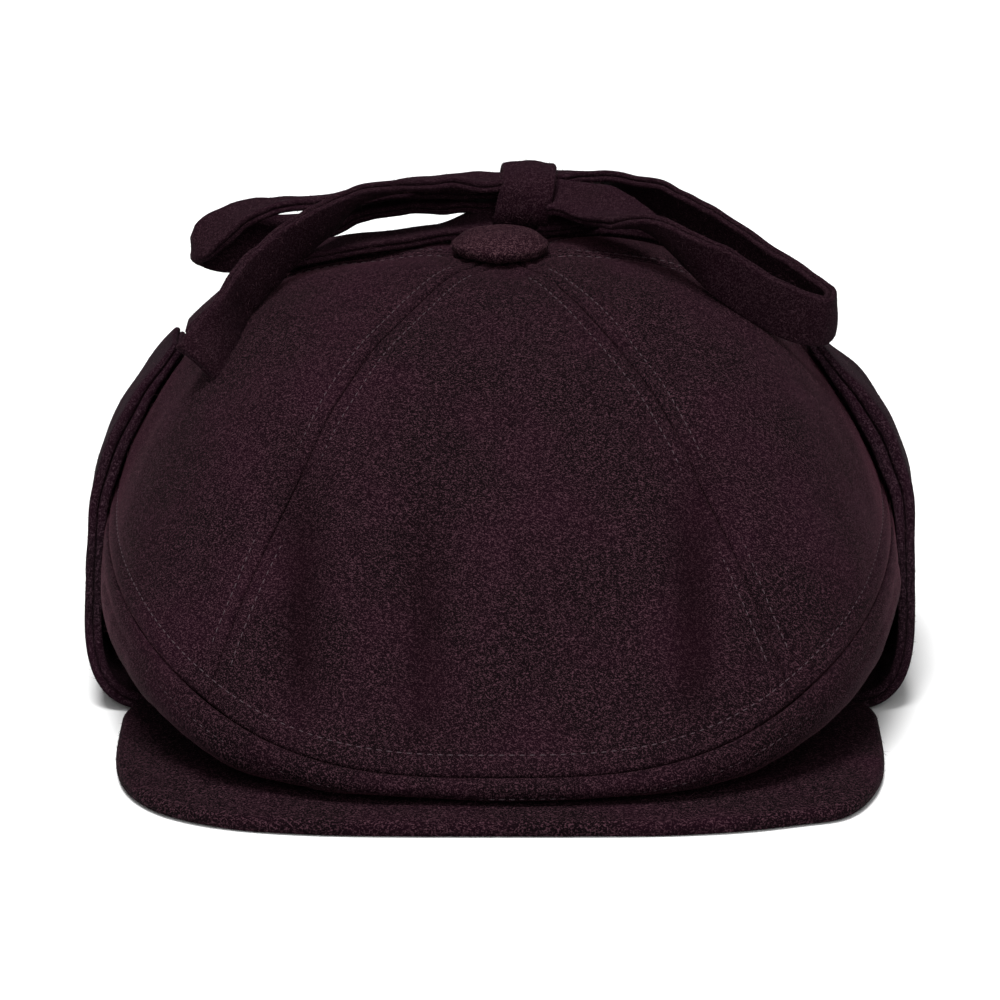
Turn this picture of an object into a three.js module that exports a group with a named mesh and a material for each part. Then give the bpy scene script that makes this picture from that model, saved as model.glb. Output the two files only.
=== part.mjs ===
// Earflap flat cap in wool melton: six crown panels over a lower wall, a stiff peak, a headband,
// a folded-up ear and neck flap, and two ties that meet in a bow behind the top button.
// Millimetres, +Z up, the peak points along -Y. The cap rests on the plane z = 0.
import * as THREE from 'three';

// ---------------------------------------------------------------- driving dimensions
const GAP = 0.5;                 // clearance between neighbouring pieces
const MELTON = 2.5;              // one layer of cloth

const HEAD = { halfWide: 86, halfLong: 96 };                  // head opening, 57 cm round
const BAND = { thick: 3, bottom: 2, top: 36 };                // headband inside the opening
const RIM = {                    // seam where the crown panels meet the lower wall
  halfWide: 105, front: 139, back: 118,
  low: 12, rise: 39, riseOver: 45,                            // its height, from the front backwards
  squareness: 2.7, squarer: 0.3,
  inward: 0.9, down: 0.36,                                    // way into the cloth, square to it here
};
const CROWN = {
  top: 115, eye: 6,                                           // eye: radius left open under the button
  fall: { front: 2.0, side: 3.8, back: 2.9, lean: 0.15 },     // exponents of the slope from top to rim
  sideNarrow: 3,                                              // how closely the side's slope keeps aside
};
// How far the cloth sinks, by share of the way from the top to the rim.
const SEAM_VALLEY = { deep: 1.2, wide: 10, from: 0.08, full: 0.3 };
const RIM_ROLL = { deep: 0.7, from: 0.93, lift: 0.35 };
const DENTS = {
  deep: 1.2, count: 7, from: 0.45, full: 0.8, fadeFrom: 0.85, aheadFrom: 0.6, aheadFull: 0.9,
};
const PANELS = [                 // from one seam to the next, in degrees from straight ahead
  { name: 'crown_panel_front', from: -32, to: 32 },
  { name: 'crown_panel_front_right', from: 32, to: 95 },
  { name: 'crown_panel_back_right', from: 95, to: 148 },
  { name: 'crown_panel_back', from: 148, to: 212 },
  { name: 'crown_panel_back_left', from: 212, to: 265 },
  { name: 'crown_panel_front_left', from: 265, to: 328 },
];
const WALL = {                   // a curve from the band out and up to the rim
  clear: 0.5, baseFront: 8.2, baseSide: 7.4,                  // where it starts at the band
  overPeakTo: 55, sideFrom: 85,                               // degrees from ahead: over the peak, aside
  reach: 0.65, sag: 1.3, climb: 0.09,                         // the knee, just above the peak
  bulgeFront: 8, bulgeSide: 4.5, tuckMost: 20, tuckAbove: 1.2,
  kneeIn: 0.5, bulgeIn: 1.2, bulgeUpSide: 0.4, bulgeUpFront: 1.7,   // shift of the inner face by depth
  swell: 0.7, swellOver: 16,                                  // how far it stands out beyond the rim
};
const PEAK = {
  halfWide: 99, behind: -60, ahead: 90.5, squareness: 3.9,    // superellipse outline
  tipBack: 28, tipAngle: 112, tipBandAngle: 63,
  thick: 4, edge: 1, clear: 0.6,                              // edge: thickness of its rounded rim
  slope: 0.07, archHalfWide: 99.5,                            // rise towards the band, flat at the sides
  roundFrom: 0.965,                                           // share of the way out where that starts
};
const BUTTON = {
  radius: 13.1, under: 115.5,
  profile: [                     // share of the radius, height above its underside
    { out: 0, up: 0 }, { out: 0.5, up: 0 }, { out: 0.95, up: -0.35 }, { out: 1, up: 0.5 },
    { out: 0.99, up: 2.4 }, { out: 0.88, up: 4.5 }, { out: 0.58, up: 6.4 }, { out: 0, up: 7.1 },
  ],
};
const FLAP = {
  thick: 4.6, clear: 0.9, tipHeight: 85, neckHeight: 57,
  thickUpper: 7.6, thickenFrom: 36, thickenTo: 64,            // its fuller upper part, by height
  thickTip: 3.6, thinFrom: 66, thinTo: 88,
  frontLow: 65, frontHigh: 88, frontClimb: 0.8,               // front edge, degrees from ahead
  tipShare: 0.88, slopeShare: 0.5,                            // where its top falls from tip to neck
  turnRows: 5 / 11, rimRow: 7 / 11,                           // rows spent on the turn, and up to the rim
};
const FLAP_TURN = [              // how the flap turns up from the band: height, share of the way out
  { height: 0, out: 0.10 },
  { height: 0, out: 0.42 },
  { height: 0, out: 0.56 },
  { height: 2.2, out: 0.82 },
  { height: 8.5, out: 0.97 },
  { height: 18, out: 1.0 },
];
const STRAP = { wide: 14, thick: 3.2, flat: 0.84, edge: 0.55 };   // flat: share of its width, then thinner
const TIE = {
  clear: 0.8, tipIn: 2.2, lift: 1.7, liftOver: 0.35, spread: 0.6,
  behindKnotFace: 3.4, foot: 1.5,                               // where it meets the knot
  left: { tipShare: 0.03, backFrom: 0.5, swing: 0 },
  right: { tipShare: 0.065, backFrom: 0, swing: 18 },         // swing: how far it bows backwards
};
const KNOT = { x: 5.8, y: 24.2, z: 124.2, wide: 14.5, deep: 24, tall: 15.4, round: 5, edge: 1, lean: 0.24 };

// Routes of the straps' centre lines. lift: degrees by which the strap's front edge is raised
// about the X axis, from lying flat at 0 to facing forwards at 90.
const LEFT_LOOP = [
  { x: -2.5, y: 28.5, z: 125.7, lift: 2 },
  { x: -10.5, y: 28.5, z: 125.8, lift: 3 },
  { x: -19, y: 28.5, z: 125.8, lift: 4 },
  { x: -28.5, y: 28.5, z: 125.5, lift: 6 },
  { x: -40, y: 28, z: 123.8, lift: 8 },
  { x: -51.5, y: 27, z: 122.4, lift: 8 },
  { x: -62, y: 25.5, z: 121, lift: 1 },
  { x: -70.5, y: 24, z: 118.2, lift: -14 },
  { x: -77.5, y: 22.5, z: 113.6, lift: -42 },
  { x: -80.5, y: 23, z: 110.5, lift: -68 },
  { x: -81.5, y: 26.5, z: 108.9, lift: -84 },
  { x: -80, y: 30.5, z: 108, lift: -88 },
  { x: -75, y: 32, z: 108.5, lift: -84 },
  { x: -67, y: 32, z: 110.2, lift: -66 },
  { x: -57.5, y: 33, z: 112.2, lift: -34 },
  { x: -48, y: 33, z: 114.4, lift: -12 },
  { x: -39.5, y: 32.5, z: 117.3, lift: 2 },
  { x: -28.5, y: 31, z: 120.4, lift: 5 },
  { x: -16.5, y: 29.5, z: 121.2, lift: 4 },
  { x: -3.5, y: 28.5, z: 121.4, lift: 4 },
];
const LEFT_TAIL = [
  { x: -2, y: 20, z: 129.7, lift: 3 },
  { x: -10, y: 18.5, z: 130.1, lift: 4 },
  { x: -19, y: 15.5, z: 130.5, lift: 6 },
  { x: -26, y: 12, z: 130.5, lift: 9 },
  { x: -33, y: 7.5, z: 129.9, lift: 15 },
  { x: -40, y: 3, z: 128, lift: 27 },
  { x: -46.5, y: -2, z: 124.7, lift: 45 },
  { x: -53, y: -7, z: 120.6, lift: 62 },
  { x: -62, y: -15, z: 115.4, lift: 82 },
  { x: -69, y: -24.5, z: 109.9, lift: 95 },
  { x: -75, y: -35, z: 101.9, lift: 106 },
  { x: -79.5, y: -40.5, z: 96.2, lift: 112 },
];
const RIGHT_LOOP = [
  { x: 15, y: 31, z: 128.1, lift: 12 },
  { x: 22, y: 31, z: 128.2, lift: 12 },
  { x: 30, y: 30.5, z: 128.3, lift: 15 },
  { x: 38, y: 29, z: 126.7, lift: 25 },
  { x: 46.5, y: 26, z: 122.9, lift: 38 },
  { x: 54.5, y: 21.5, z: 118.6, lift: 52 },
  { x: 63.5, y: 16, z: 113.4, lift: 60 },
  { x: 72, y: 9.5, z: 108.5, lift: 63 },
  { x: 80, y: 2, z: 104.7, lift: 64 },
  { x: 85.5, y: -5, z: 102.2, lift: 66 },
  { x: 87.5, y: -12, z: 100.8, lift: 68 },
  { x: 85.5, y: -18, z: 100, lift: 73 },
  { x: 76.5, y: -21.5, z: 103, lift: 78 },
  { x: 65.5, y: -22, z: 109.4, lift: 78 },
  { x: 56.5, y: -20.5, z: 115.5, lift: 70 },
  { x: 48.5, y: -16.5, z: 120, lift: 50 },
  { x: 41.5, y: -9, z: 122.7, lift: 26 },
  { x: 35, y: -0.5, z: 124.1, lift: 5 },
  { x: 28, y: 9, z: 125.1, lift: -8 },
  { x: 21.5, y: 15.5, z: 125.5, lift: -12 },
  { x: 15.5, y: 17.5, z: 126, lift: -13 },
];
const RIGHT_TAIL = [
  { x: 15, y: 28.5, z: 120.2, lift: 0 },
  { x: 22, y: 29.5, z: 120.6, lift: 0 },
  { x: 32, y: 33, z: 120.4, lift: -2 },
  { x: 43, y: 38.5, z: 117.2, lift: -4 },
  { x: 54, y: 44, z: 112.6, lift: -6 },
];

const MESH_STEPS = {
  panelAcross: 9, panelDown: 9, edgeDense: 0.45, rimDense: 0.9, wallRound: 72, wallDown: 7, bandRound: 56,
  flapRound: 58, flapUp: 11, peakRound: 44, peakDeep: 4, strap: 2.2, tie: 12,
  buttonRound: 24, knotCorner: 4,
};

// ---------------------------------------------------------------- finishes
const melton = new THREE.MeshStandardMaterial({ color: 0x3b1822, roughness: 0.95, metalness: 0 });
const meltonTie = new THREE.MeshStandardMaterial({ color: 0x421c27, roughness: 0.95, metalness: 0 });
const bandCloth = new THREE.MeshStandardMaterial({ color: 0x1c1214, roughness: 0.85, metalness: 0 });

// ---------------------------------------------------------------- plan and profile of the cap
const rad = THREE.MathUtils.degToRad;
const mix = THREE.MathUtils.lerp;
const smooth = (from, to, x) => THREE.MathUtils.smoothstep(x, from, to);

/** A point at a distance from the button's axis, at an angle from straight ahead towards +X. */
const polar = (angle, reach, z) => new THREE.Vector3(reach * Math.sin(angle), -reach * Math.cos(angle), z);

/** Distance from the axis to an ellipse, in the direction of an angle. */
const ellipseReach = (angle, halfWide, halfLong) =>
  1 / Math.hypot(Math.sin(angle) / halfWide, Math.cos(angle) / halfLong);

const bandReach = (angle, outside) =>
  ellipseReach(angle, HEAD.halfWide + outside, HEAD.halfLong + outside);

/** Distance from the axis to the rim seam: a superellipse, squarer in front. */
function rimReach(angle) {
  const power = RIM.squareness + RIM.squarer * Math.cos(angle);
  const long = Math.cos(angle) > 0 ? RIM.front : RIM.back;
  return ((Math.abs(Math.sin(angle)) / RIM.halfWide) ** power
    + (Math.abs(Math.cos(angle)) / long) ** power) ** (-1 / power);
}

/** Height of the rim seam: low over the peak, rising to the ears. */
function rimHeight(angle) {
  const behindFront = RIM.front - rimReach(angle) * Math.cos(angle);
  return RIM.low + RIM.rise * (1 - Math.exp(-behindFront / RIM.riseOver));
}

/** Exponent of the crown's slope: a straighter fall in front, a full shoulder at the sides. */
function fallPower(angle) {
  const end = Math.cos(angle) > 0 ? CROWN.fall.front : CROWN.fall.back;
  const aside = Math.sin(angle);
  return mix(end, CROWN.fall.side, Math.abs(aside) ** CROWN.sideNarrow) - CROWN.fall.lean * aside;
}

/** Outer crown surface without its seams; share 0 is the top and 1 the rim, depth goes inwards. */
function crownPoint(angle, share, depth = 0) {
  const reach = rimReach(angle) - RIM.inward * depth;
  const rimZ = rimHeight(angle) - RIM.down * depth;
  const top = CROWN.top - depth;
  return polar(angle, share * reach, rimZ + (top - rimZ) * (1 - share ** fallPower(angle)));
}

/** The crown surface above a point of the plan. */
function crownOver(x, y) {
  const angle = Math.atan2(x, -y);
  return crownPoint(angle, Math.hypot(x, y) / rimReach(angle));
}

/** Distance from the axis to the outside of crown or wall at a height. */
function sideReach(angle, z) {
  const rimZ = rimHeight(angle);
  if (z <= rimZ) return rimReach(angle) + WALL.swell * smooth(0, WALL.swellOver, rimZ - z);
  const share = (1 - (z - rimZ) / (CROWN.top - rimZ)) ** (1 / fallPower(angle));
  return share * rimReach(angle);
}

// ---------------------------------------------------------------- closed bodies from two faces
/** A closed body between an outer and an inner face, both grids of points[along][across]. */
function bodyBetween(outer, inner, ring = false) {
  const rows = outer.length;
  const cols = outer[0].length;
  const positions = [...outer, ...inner].flatMap((row) => row.flatMap((p) => p.toArray()));
  const at = (face, i, j) => face * rows * cols + (i % rows) * cols + j;
  const index = [];
  const quad = (a, b, c, d) => index.push(a, b, c, a, c, d);
  const spans = ring ? rows : rows - 1;
  for (let i = 0; i < spans; i++) {
    for (let j = 0; j < cols - 1; j++) {
      quad(at(0, i, j), at(0, i + 1, j), at(0, i + 1, j + 1), at(0, i, j + 1));
      quad(at(1, i, j), at(1, i, j + 1), at(1, i + 1, j + 1), at(1, i + 1, j));
    }
    quad(at(0, i, 0), at(1, i, 0), at(1, i + 1, 0), at(0, i + 1, 0));
    quad(at(0, i, cols - 1), at(0, i + 1, cols - 1), at(1, i + 1, cols - 1), at(1, i, cols - 1));
  }
  for (let j = 0; j < cols - 1 && !ring; j++) {
    quad(at(0, 0, j), at(0, 0, j + 1), at(1, 0, j + 1), at(1, 0, j));
    quad(at(0, rows - 1, j), at(1, rows - 1, j), at(1, rows - 1, j + 1), at(0, rows - 1, j + 1));
  }
  const geometry = new THREE.BufferGeometry();
  geometry.setAttribute('position', new THREE.Float32BufferAttribute(positions, 3));
  geometry.setIndex(index);
  return facingOut(geometry);
}

/** The same body with its triangles turned so that the enclosed volume is positive. */
function facingOut(geometry) {
  const p = geometry.getAttribute('position');
  const index = geometry.getIndex().array;
  const corner = [0, 1, 2].map(() => new THREE.Vector3());
  let volume = 0;
  for (let i = 0; i < index.length; i += 3) {
    corner.forEach((c, k) => c.fromBufferAttribute(p, index[i + k]));
    volume += corner[0].dot(corner[1].cross(corner[2]));
  }
  if (volume < 0) {
    for (let i = 0; i < index.length; i += 3) [index[i + 1], index[i + 2]] = [index[i + 2], index[i + 1]];
  }
  return geometry;
}

/** A grid of points from a function of two shares, each from 0 to 1. */
function grid(along, across, point, ring = false) {
  const rows = ring ? along : along + 1;
  return Array.from({ length: rows }, (_, i) =>
    Array.from({ length: across + 1 }, (_unused, j) => point(i / along, j / across)));
}

/** Unit normal of the surface point(u, v), by small differences. */
function normalOf(point, u, v) {
  const step = 1e-3;
  const alongU = point(u + step, v).sub(point(u - step, v));
  const alongV = point(u, v + step).sub(point(u, v - step));
  return alongU.cross(alongV).normalize();
}

/** A sheet of cloth between two distances from a guide surface, measured along its normal. */
function sheet(along, across, point, near, far) {
  const offset = (distance) => grid(along, across, (u, v) =>
    point(u, v).addScaledVector(normalOf(point, u, v), distance));
  return bodyBetween(offset(far), offset(near));
}

// ---------------------------------------------------------------- crown
/** How far the cloth sinks at a seam, and in the soft dents low on the front panel. */
function sinkAt(angle, share, edgeDistance) {
  const valley = SEAM_VALLEY.deep * Math.exp(-edgeDistance / SEAM_VALLEY.wide);
  const wave = DENTS.deep * (0.5 - 0.5 * Math.cos(2 * DENTS.count * angle));
  const low = smooth(DENTS.from, DENTS.full, share) * (1 - smooth(DENTS.fadeFrom, 1, share));
  return valley * smooth(SEAM_VALLEY.from, SEAM_VALLEY.full, share)
    + RIM_ROLL.deep * smooth(RIM_ROLL.from, 1, share)
    + wave * low * smooth(DENTS.aheadFrom, DENTS.aheadFull, Math.cos(angle));
}

/** One wedge of the crown, from the eye under the button down to the rim seam. */
function crownPanel({ from, to }) {
  const start = rad(from);
  const width = rad(to - from);
  const face = (depth) => grid(MESH_STEPS.panelAcross, MESH_STEPS.panelDown, (u, v) => {
    const spread = mix(u, 0.5 - 0.5 * Math.cos(Math.PI * u), MESH_STEPS.edgeDense);
    const eyeShare = CROWN.eye / rimReach(start + width * spread);
    const share = mix(eyeShare, 1, Math.sin(0.5 * Math.PI * v) ** MESH_STEPS.rimDense);
    const reach = share * rimReach(start + width * spread);
    const inset = 0.5 * GAP / reach;
    const angle = start + inset + (width - 2 * inset) * spread;
    const edgeDistance = reach * width * Math.min(spread, 1 - spread);
    const sink = sinkAt(angle, share, edgeDistance);
    const point = crownPoint(angle, share, depth + sink);
    point.z += RIM_ROLL.lift * smooth(RIM_ROLL.from, 1, share);
    return point;
  });
  return bodyBetween(face(0), face(MELTON));
}

/** The lower wall: out from the band over the peak, round a soft bulge and up to the rim seam. */
function lowerWall() {
  const section = (angle, depth) => {
    const overPeak = 1 - smooth(rad(WALL.overPeakTo), rad(WALL.sideFrom), Math.abs(angle));
    const base = bandReach(angle, BAND.thick + WALL.clear);
    const baseZ = mix(WALL.baseSide, WALL.baseFront, overPeak);
    const rim = rimReach(angle);
    const rimZ = rimHeight(angle) - 0.5 * GAP;
    const tuck = Math.min(WALL.tuckMost, rimZ - WALL.tuckAbove);
    const knee = new THREE.Vector2(
      mix(base, rim, WALL.reach) - WALL.kneeIn * depth,
      baseZ - WALL.sag + WALL.climb * (rimZ - baseZ) + depth,
    );
    const bulge = new THREE.Vector2(
      rim + mix(WALL.bulgeSide, WALL.bulgeFront, overPeak) - WALL.bulgeIn * depth,
      rimZ - tuck + mix(WALL.bulgeUpSide, WALL.bulgeUpFront, overPeak) * depth,
    );
    const start = new THREE.Vector2(base, baseZ + depth);
    const sunk = depth + RIM_ROLL.deep;
    const end = new THREE.Vector2(rim - RIM.inward * sunk, rimZ - RIM.down * sunk);
    return new THREE.CubicBezierCurve(start, knee, bulge, end);
  };
  const face = (depth) => grid(MESH_STEPS.wallRound, MESH_STEPS.wallDown, (u, v) => {
    const angle = Math.PI * (2 * u - 1);
    const p = section(angle, depth).getPoint(v);
    return polar(angle, p.x, p.y);
  }, true);
  return bodyBetween(face(0), face(MELTON), true);
}

/** The headband: an upright ring just inside the opening. */
function headband() {
  const face = (outside) => grid(MESH_STEPS.bandRound, 1, (u, v) => {
    const angle = 2 * Math.PI * u;
    return polar(angle, bandReach(angle, outside), mix(BAND.bottom, BAND.top, v));
  }, true);
  return bodyBetween(face(BAND.thick), face(0), true);
}

// ---------------------------------------------------------------- peak and button
/** Outline of the peak at a share of the way from the left tip to the right tip. */
function peakEdge(share) {
  const angle = rad(PEAK.tipAngle) * (2 * share - 1);
  const power = 2 / PEAK.squareness;
  const across = Math.sign(angle) * PEAK.halfWide * Math.abs(Math.sin(angle)) ** power;
  const along = Math.cos(angle) > 0
    ? -PEAK.ahead * Math.cos(angle) ** power
    : PEAK.tipBack * -Math.cos(angle);
  return new THREE.Vector2(across, PEAK.behind + along);
}

/** Underside height of the peak: it touches down at the edge and rises towards the band. */
const peakUnder = (x, y) =>
  PEAK.slope * (y - PEAK.behind + PEAK.ahead) * (1 - (x / PEAK.archHalfWide) ** 2);

function peak() {
  const face = (side) => grid(MESH_STEPS.peakRound, MESH_STEPS.peakDeep, (u, v) => {
    const bandAngle = rad(PEAK.tipBandAngle) * (2 * u - 1);
    const inner = polar(bandAngle, bandReach(bandAngle, BAND.thick + PEAK.clear), 0);
    const edge = peakEdge(u);
    const out = v === 1 ? 1 : v / (1 - 1 / MESH_STEPS.peakDeep) * PEAK.roundFrom;
    const x = mix(inner.x, edge.x, out);
    const y = mix(inner.y, edge.y, out);
    const rounding = v === 1 ? 0.5 * (PEAK.thick - PEAK.edge) : 0;
    const lift = side > 0 ? PEAK.thick - rounding : rounding;
    return new THREE.Vector3(x, y, peakUnder(x, y) + lift);
  });
  return bodyBetween(face(1), face(-1));
}

function topButton() {
  const profile = BUTTON.profile.map(({ out, up }) =>
    new THREE.Vector2(out * BUTTON.radius, BUTTON.under + up));
  return new THREE.LatheGeometry(profile, MESH_STEPS.buttonRound).rotateX(0.5 * Math.PI);
}

// ---------------------------------------------------------------- ear and neck flap
/** Guide surface of the flap. u runs from the right front edge round the back to the left one. */
function flapGuide(u, v) {
  const aside = 1 - 2 * u;
  const turn = Math.abs(aside);
  const turnRows = FLAP_TURN.length - 1;
  const rise = smooth(FLAP.slopeShare, FLAP.tipShare, turn);
  const topHeight = mix(FLAP.neckHeight, FLAP.tipHeight, rise * rise);
  const floor = FLAP.thick + FLAP.clear;
  let height;
  let out = 1;
  if (v < FLAP.turnRows) {
    const at = Math.max(v, 0) / FLAP.turnRows * turnRows;
    const row = Math.min(Math.floor(at), turnRows - 1);
    height = floor + mix(FLAP_TURN[row].height, FLAP_TURN[row + 1].height, at - row);
    out = mix(FLAP_TURN[row].out, FLAP_TURN[row + 1].out, at - row);
  } else if (v < FLAP.rimRow) {
    const share = (v - FLAP.turnRows) / (FLAP.rimRow - FLAP.turnRows);
    height = mix(floor + FLAP_TURN[turnRows].height, RIM.low + RIM.rise, share);
  } else {
    height = mix(RIM.low + RIM.rise, topHeight, (v - FLAP.rimRow) / (1 - FLAP.rimRow));
  }
  const climb = (height - floor) / (FLAP.tipHeight - floor);
  const front = rad(mix(FLAP.frontLow, FLAP.frontHigh, climb ** FLAP.frontClimb));
  const angle = Math.sign(aside || 1) * (Math.PI - turn * (Math.PI - front));
  const band = bandReach(angle, BAND.thick);
  return polar(angle, mix(band, sideReach(angle, height), out), height);
}

/** Thickness of the flap by height: full at the ears, thin at the tips. */
function flapThick(height) {
  const fuller = mix(FLAP.thick, FLAP.thickUpper, smooth(FLAP.thickenFrom, FLAP.thickenTo, height));
  return mix(fuller, FLAP.thickTip, smooth(FLAP.thinFrom, FLAP.thinTo, height));
}

/** The flap: two plies of cloth, turned up from the band and laid against the crown. */
function earFlap() {
  const face = (outside) => grid(MESH_STEPS.flapRound, MESH_STEPS.flapUp, (u, v) => {
    const p = flapGuide(u, v);
    return p.addScaledVector(normalOf(flapGuide, u, v), FLAP.clear + outside * flapThick(p.z));
  });
  return bodyBetween(face(1), face(0));
}

// ---------------------------------------------------------------- ties and bow
/** A strap of the tie that lies on the crown, from the flap's tip to the knot. */
function tie(side) {
  const { tipShare, backFrom, swing } = side < 0 ? TIE.left : TIE.right;
  const tip = flapGuide(0.5 - (0.5 - tipShare) * side, 1);
  const knotSide = KNOT.x - TIE.foot + side * (0.5 * KNOT.wide + GAP);
  const guide = (u, v) => {
    const x = mix(tip.x - side * TIE.tipIn, knotSide, u);
    const middle = mix(tip.y, KNOT.y - TIE.behindKnotFace, smooth(backFrom, 1, u));
    const y = middle + swing * Math.sin(Math.PI * u) + STRAP.wide * (v - 0.5);
    const lift = TIE.lift * (1 - smooth(0, TIE.liftOver, u));
    return crownOver(x, y).add(new THREE.Vector3(TIE.spread * side * lift, 0, lift));
  };
  return sheet(MESH_STEPS.tie, 2, guide, -side * TIE.clear, -side * (TIE.clear + STRAP.thick));
}

/** A strap swept along a route; its section is a flat six-sided band. */
function strap(route) {
  const centre = new THREE.CatmullRomCurve3(route.map(({ x, y, z }) => new THREE.Vector3(x, y, z)));
  const lifts = new THREE.CatmullRomCurve3(route.map(({ lift }, i) => new THREE.Vector3(i, lift, 0)));
  const steps = Math.round(MESH_STEPS.strap * route.length);
  const face = (sign) => grid(steps, 3, (u, v) => {
    const along = centre.getTangent(u);
    const lift = rad(lifts.getPoint(u).y);
    const wide = new THREE.Vector3(0, -Math.cos(lift), Math.sin(lift));
    wide.addScaledVector(along, -wide.dot(along)).normalize();
    const thick = wide.clone().cross(along);
    const edge = v === 0 || v === 1;
    const across = (edge ? 1 : STRAP.flat) * Math.sign(v - 0.5) * 0.5 * STRAP.wide;
    const half = (edge ? STRAP.edge : 1) * 0.5 * STRAP.thick;
    return centre.getPoint(u).addScaledVector(wide, across).addScaledVector(thick, sign * half);
  });
  return bodyBetween(face(1), face(-1));
}

/** The knot: the strap wrapped once round the bow, a rounded block across it. */
function knot() {
  const { wide, deep, tall, round, edge } = KNOT;
  const outline = new THREE.Shape();
  const corners = [[1, -1], [1, 1], [-1, 1], [-1, -1]];
  corners.forEach(([a, b], i) => outline.absarc(
    a * (0.5 * deep - round), b * (0.5 * tall - round), round, 0.5 * Math.PI * (i - 1), 0.5 * Math.PI * i));
  const geometry = new THREE.ExtrudeGeometry(outline,
    { depth: wide - 2 * edge, bevelEnabled: true, bevelThickness: edge, bevelSize: edge,
      bevelOffset: -edge, bevelSegments: 1, curveSegments: MESH_STEPS.knotCorner });
  return geometry.translate(0, 0, edge - 0.5 * wide).rotateX(0.5 * Math.PI).rotateZ(0.5 * Math.PI)
    .applyMatrix4(new THREE.Matrix4().makeShear(0, 0, 0, 0, KNOT.lean, 0))
    .translate(KNOT.x, KNOT.y, KNOT.z);
}

// ---------------------------------------------------------------- the cap
const cap = new THREE.Group();

function add(name, geometry, material) {
  const mesh = new THREE.Mesh(geometry, material);
  mesh.name = name;
  cap.add(mesh);
}

PANELS.forEach((panel) => add(panel.name, crownPanel(panel), melton));
add('crown_lower_wall', lowerWall(), melton);
add('headband', headband(), bandCloth);
add('peak', peak(), melton);
add('top_button', topButton(), melton);
add('ear_neck_flap', earFlap(), melton);
add('left_tie', tie(-1), meltonTie);
add('right_tie', tie(1), meltonTie);
add('bow_knot', knot(), meltonTie);
add('bow_left_loop', strap(LEFT_LOOP), meltonTie);
add('bow_left_tail', strap(LEFT_TAIL), meltonTie);
add('bow_right_loop', strap(RIGHT_LOOP), meltonTie);
add('bow_right_tail', strap(RIGHT_TAIL), meltonTie);

// The origin is under the middle of the whole cap, on the surface that it rests on.
const box = new THREE.Box3().setFromObject(cap);
const middle = box.getCenter(new THREE.Vector3());
cap.position.set(-middle.x, -middle.y, -box.min.z);

export default cap;
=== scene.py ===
"""Earflap flat cap in fulled wool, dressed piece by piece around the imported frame.

Every piece is built in millimetres about the axis of the head opening, with the peak towards -Y,
and is then moved into the frame, which is in metres. Cloth is made as plies: closed bodies with
rounded edges on both sides of a middle surface.
"""
import logging
import math
from dataclasses import dataclass, field
from enum import Enum
from typing import Callable, Optional, Sequence

import bpy
import numpy as np
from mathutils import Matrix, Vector


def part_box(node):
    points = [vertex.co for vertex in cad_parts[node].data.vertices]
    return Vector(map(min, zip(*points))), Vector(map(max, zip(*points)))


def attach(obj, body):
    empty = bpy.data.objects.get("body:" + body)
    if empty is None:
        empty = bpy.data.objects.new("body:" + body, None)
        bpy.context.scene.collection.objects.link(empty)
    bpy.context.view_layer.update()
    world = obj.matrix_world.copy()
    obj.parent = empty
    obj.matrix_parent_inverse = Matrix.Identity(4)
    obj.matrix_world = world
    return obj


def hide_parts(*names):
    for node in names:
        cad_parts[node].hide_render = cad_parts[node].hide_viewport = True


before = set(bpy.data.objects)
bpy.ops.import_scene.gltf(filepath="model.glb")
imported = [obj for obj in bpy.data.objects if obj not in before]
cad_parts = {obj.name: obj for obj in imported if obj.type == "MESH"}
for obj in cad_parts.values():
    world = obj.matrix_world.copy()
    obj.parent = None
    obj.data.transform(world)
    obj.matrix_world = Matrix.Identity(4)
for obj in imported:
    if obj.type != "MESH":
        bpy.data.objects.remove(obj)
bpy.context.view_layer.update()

log = logging.getLogger("earflap_cap")

Array = np.ndarray
Material = bpy.types.Material
Socket = bpy.types.NodeSocket
Colour = tuple[float, float, float, float]  # linear red, green, blue and alpha
Waves = tuple[tuple[float, float, int], ...]  # height and wavelength in mm, and seed
Keep = Callable[[Array, Array], Array]  # which fibres stay, from roots and normals
Row = tuple[float, float, float, float]  # x, y and z of a strap's middle, and its lift in degrees
MM = 0.001  # the frame is in metres
BODY = "root"  # the cap has no joints, so it is one body
PRESSED = "fold_shade"  # mesh attribute: painted shade along the upright folds of the crown
INSIDE = np.array([0.0, 0.0, 20.0])  # a place inside the cap, in mm
NAP_INSIDE = np.array([0.0, 0.0, 25.0])  # the same, for sorting the nap's fibres


class Side(Enum):
    """A side of the cap, as the sign of X."""

    LEFT = -1
    RIGHT = 1


class Pile(Enum):
    """How the fibres of a cloth's nap stand: (share lying flat, mean length in mm)."""

    PRESSED = (0.80, 1.15)
    BRUSHED = (0.72, 1.10)


# ---------- small mathematics
def mix(a: Array, b: Array, share: Array) -> Array:
    """Straight blend from a to b."""
    return a + (b - a) * share


def smooth(low: float, high: float, x: Array) -> Array:
    """Smooth step of x from 0 at low to 1 at high."""
    t = np.clip((x - low) / (high - low), 0.0, 1.0)
    return t * t * (3.0 - 2.0 * t)


def bell(x: Array, middle: Array | float, wide: Array | float) -> Array:
    """A rounded bump, 1 at its middle and falling off over its width."""
    return np.exp(-((x - middle) / wide) ** 2)


def polar(angle: Array, reach: Array, height: Array) -> Array:
    """Points at an angle from straight ahead towards +X, a reach from the axis and a height."""
    angle, reach, height = np.broadcast_arrays(angle, reach, height)
    return np.stack([reach * np.sin(angle), -reach * np.cos(angle), height], axis=-1)


def around(count: int) -> Array:
    """Even angles once round the axis, as a column."""
    return np.linspace(-math.pi, math.pi, count, endpoint=False)[:, None]


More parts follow.
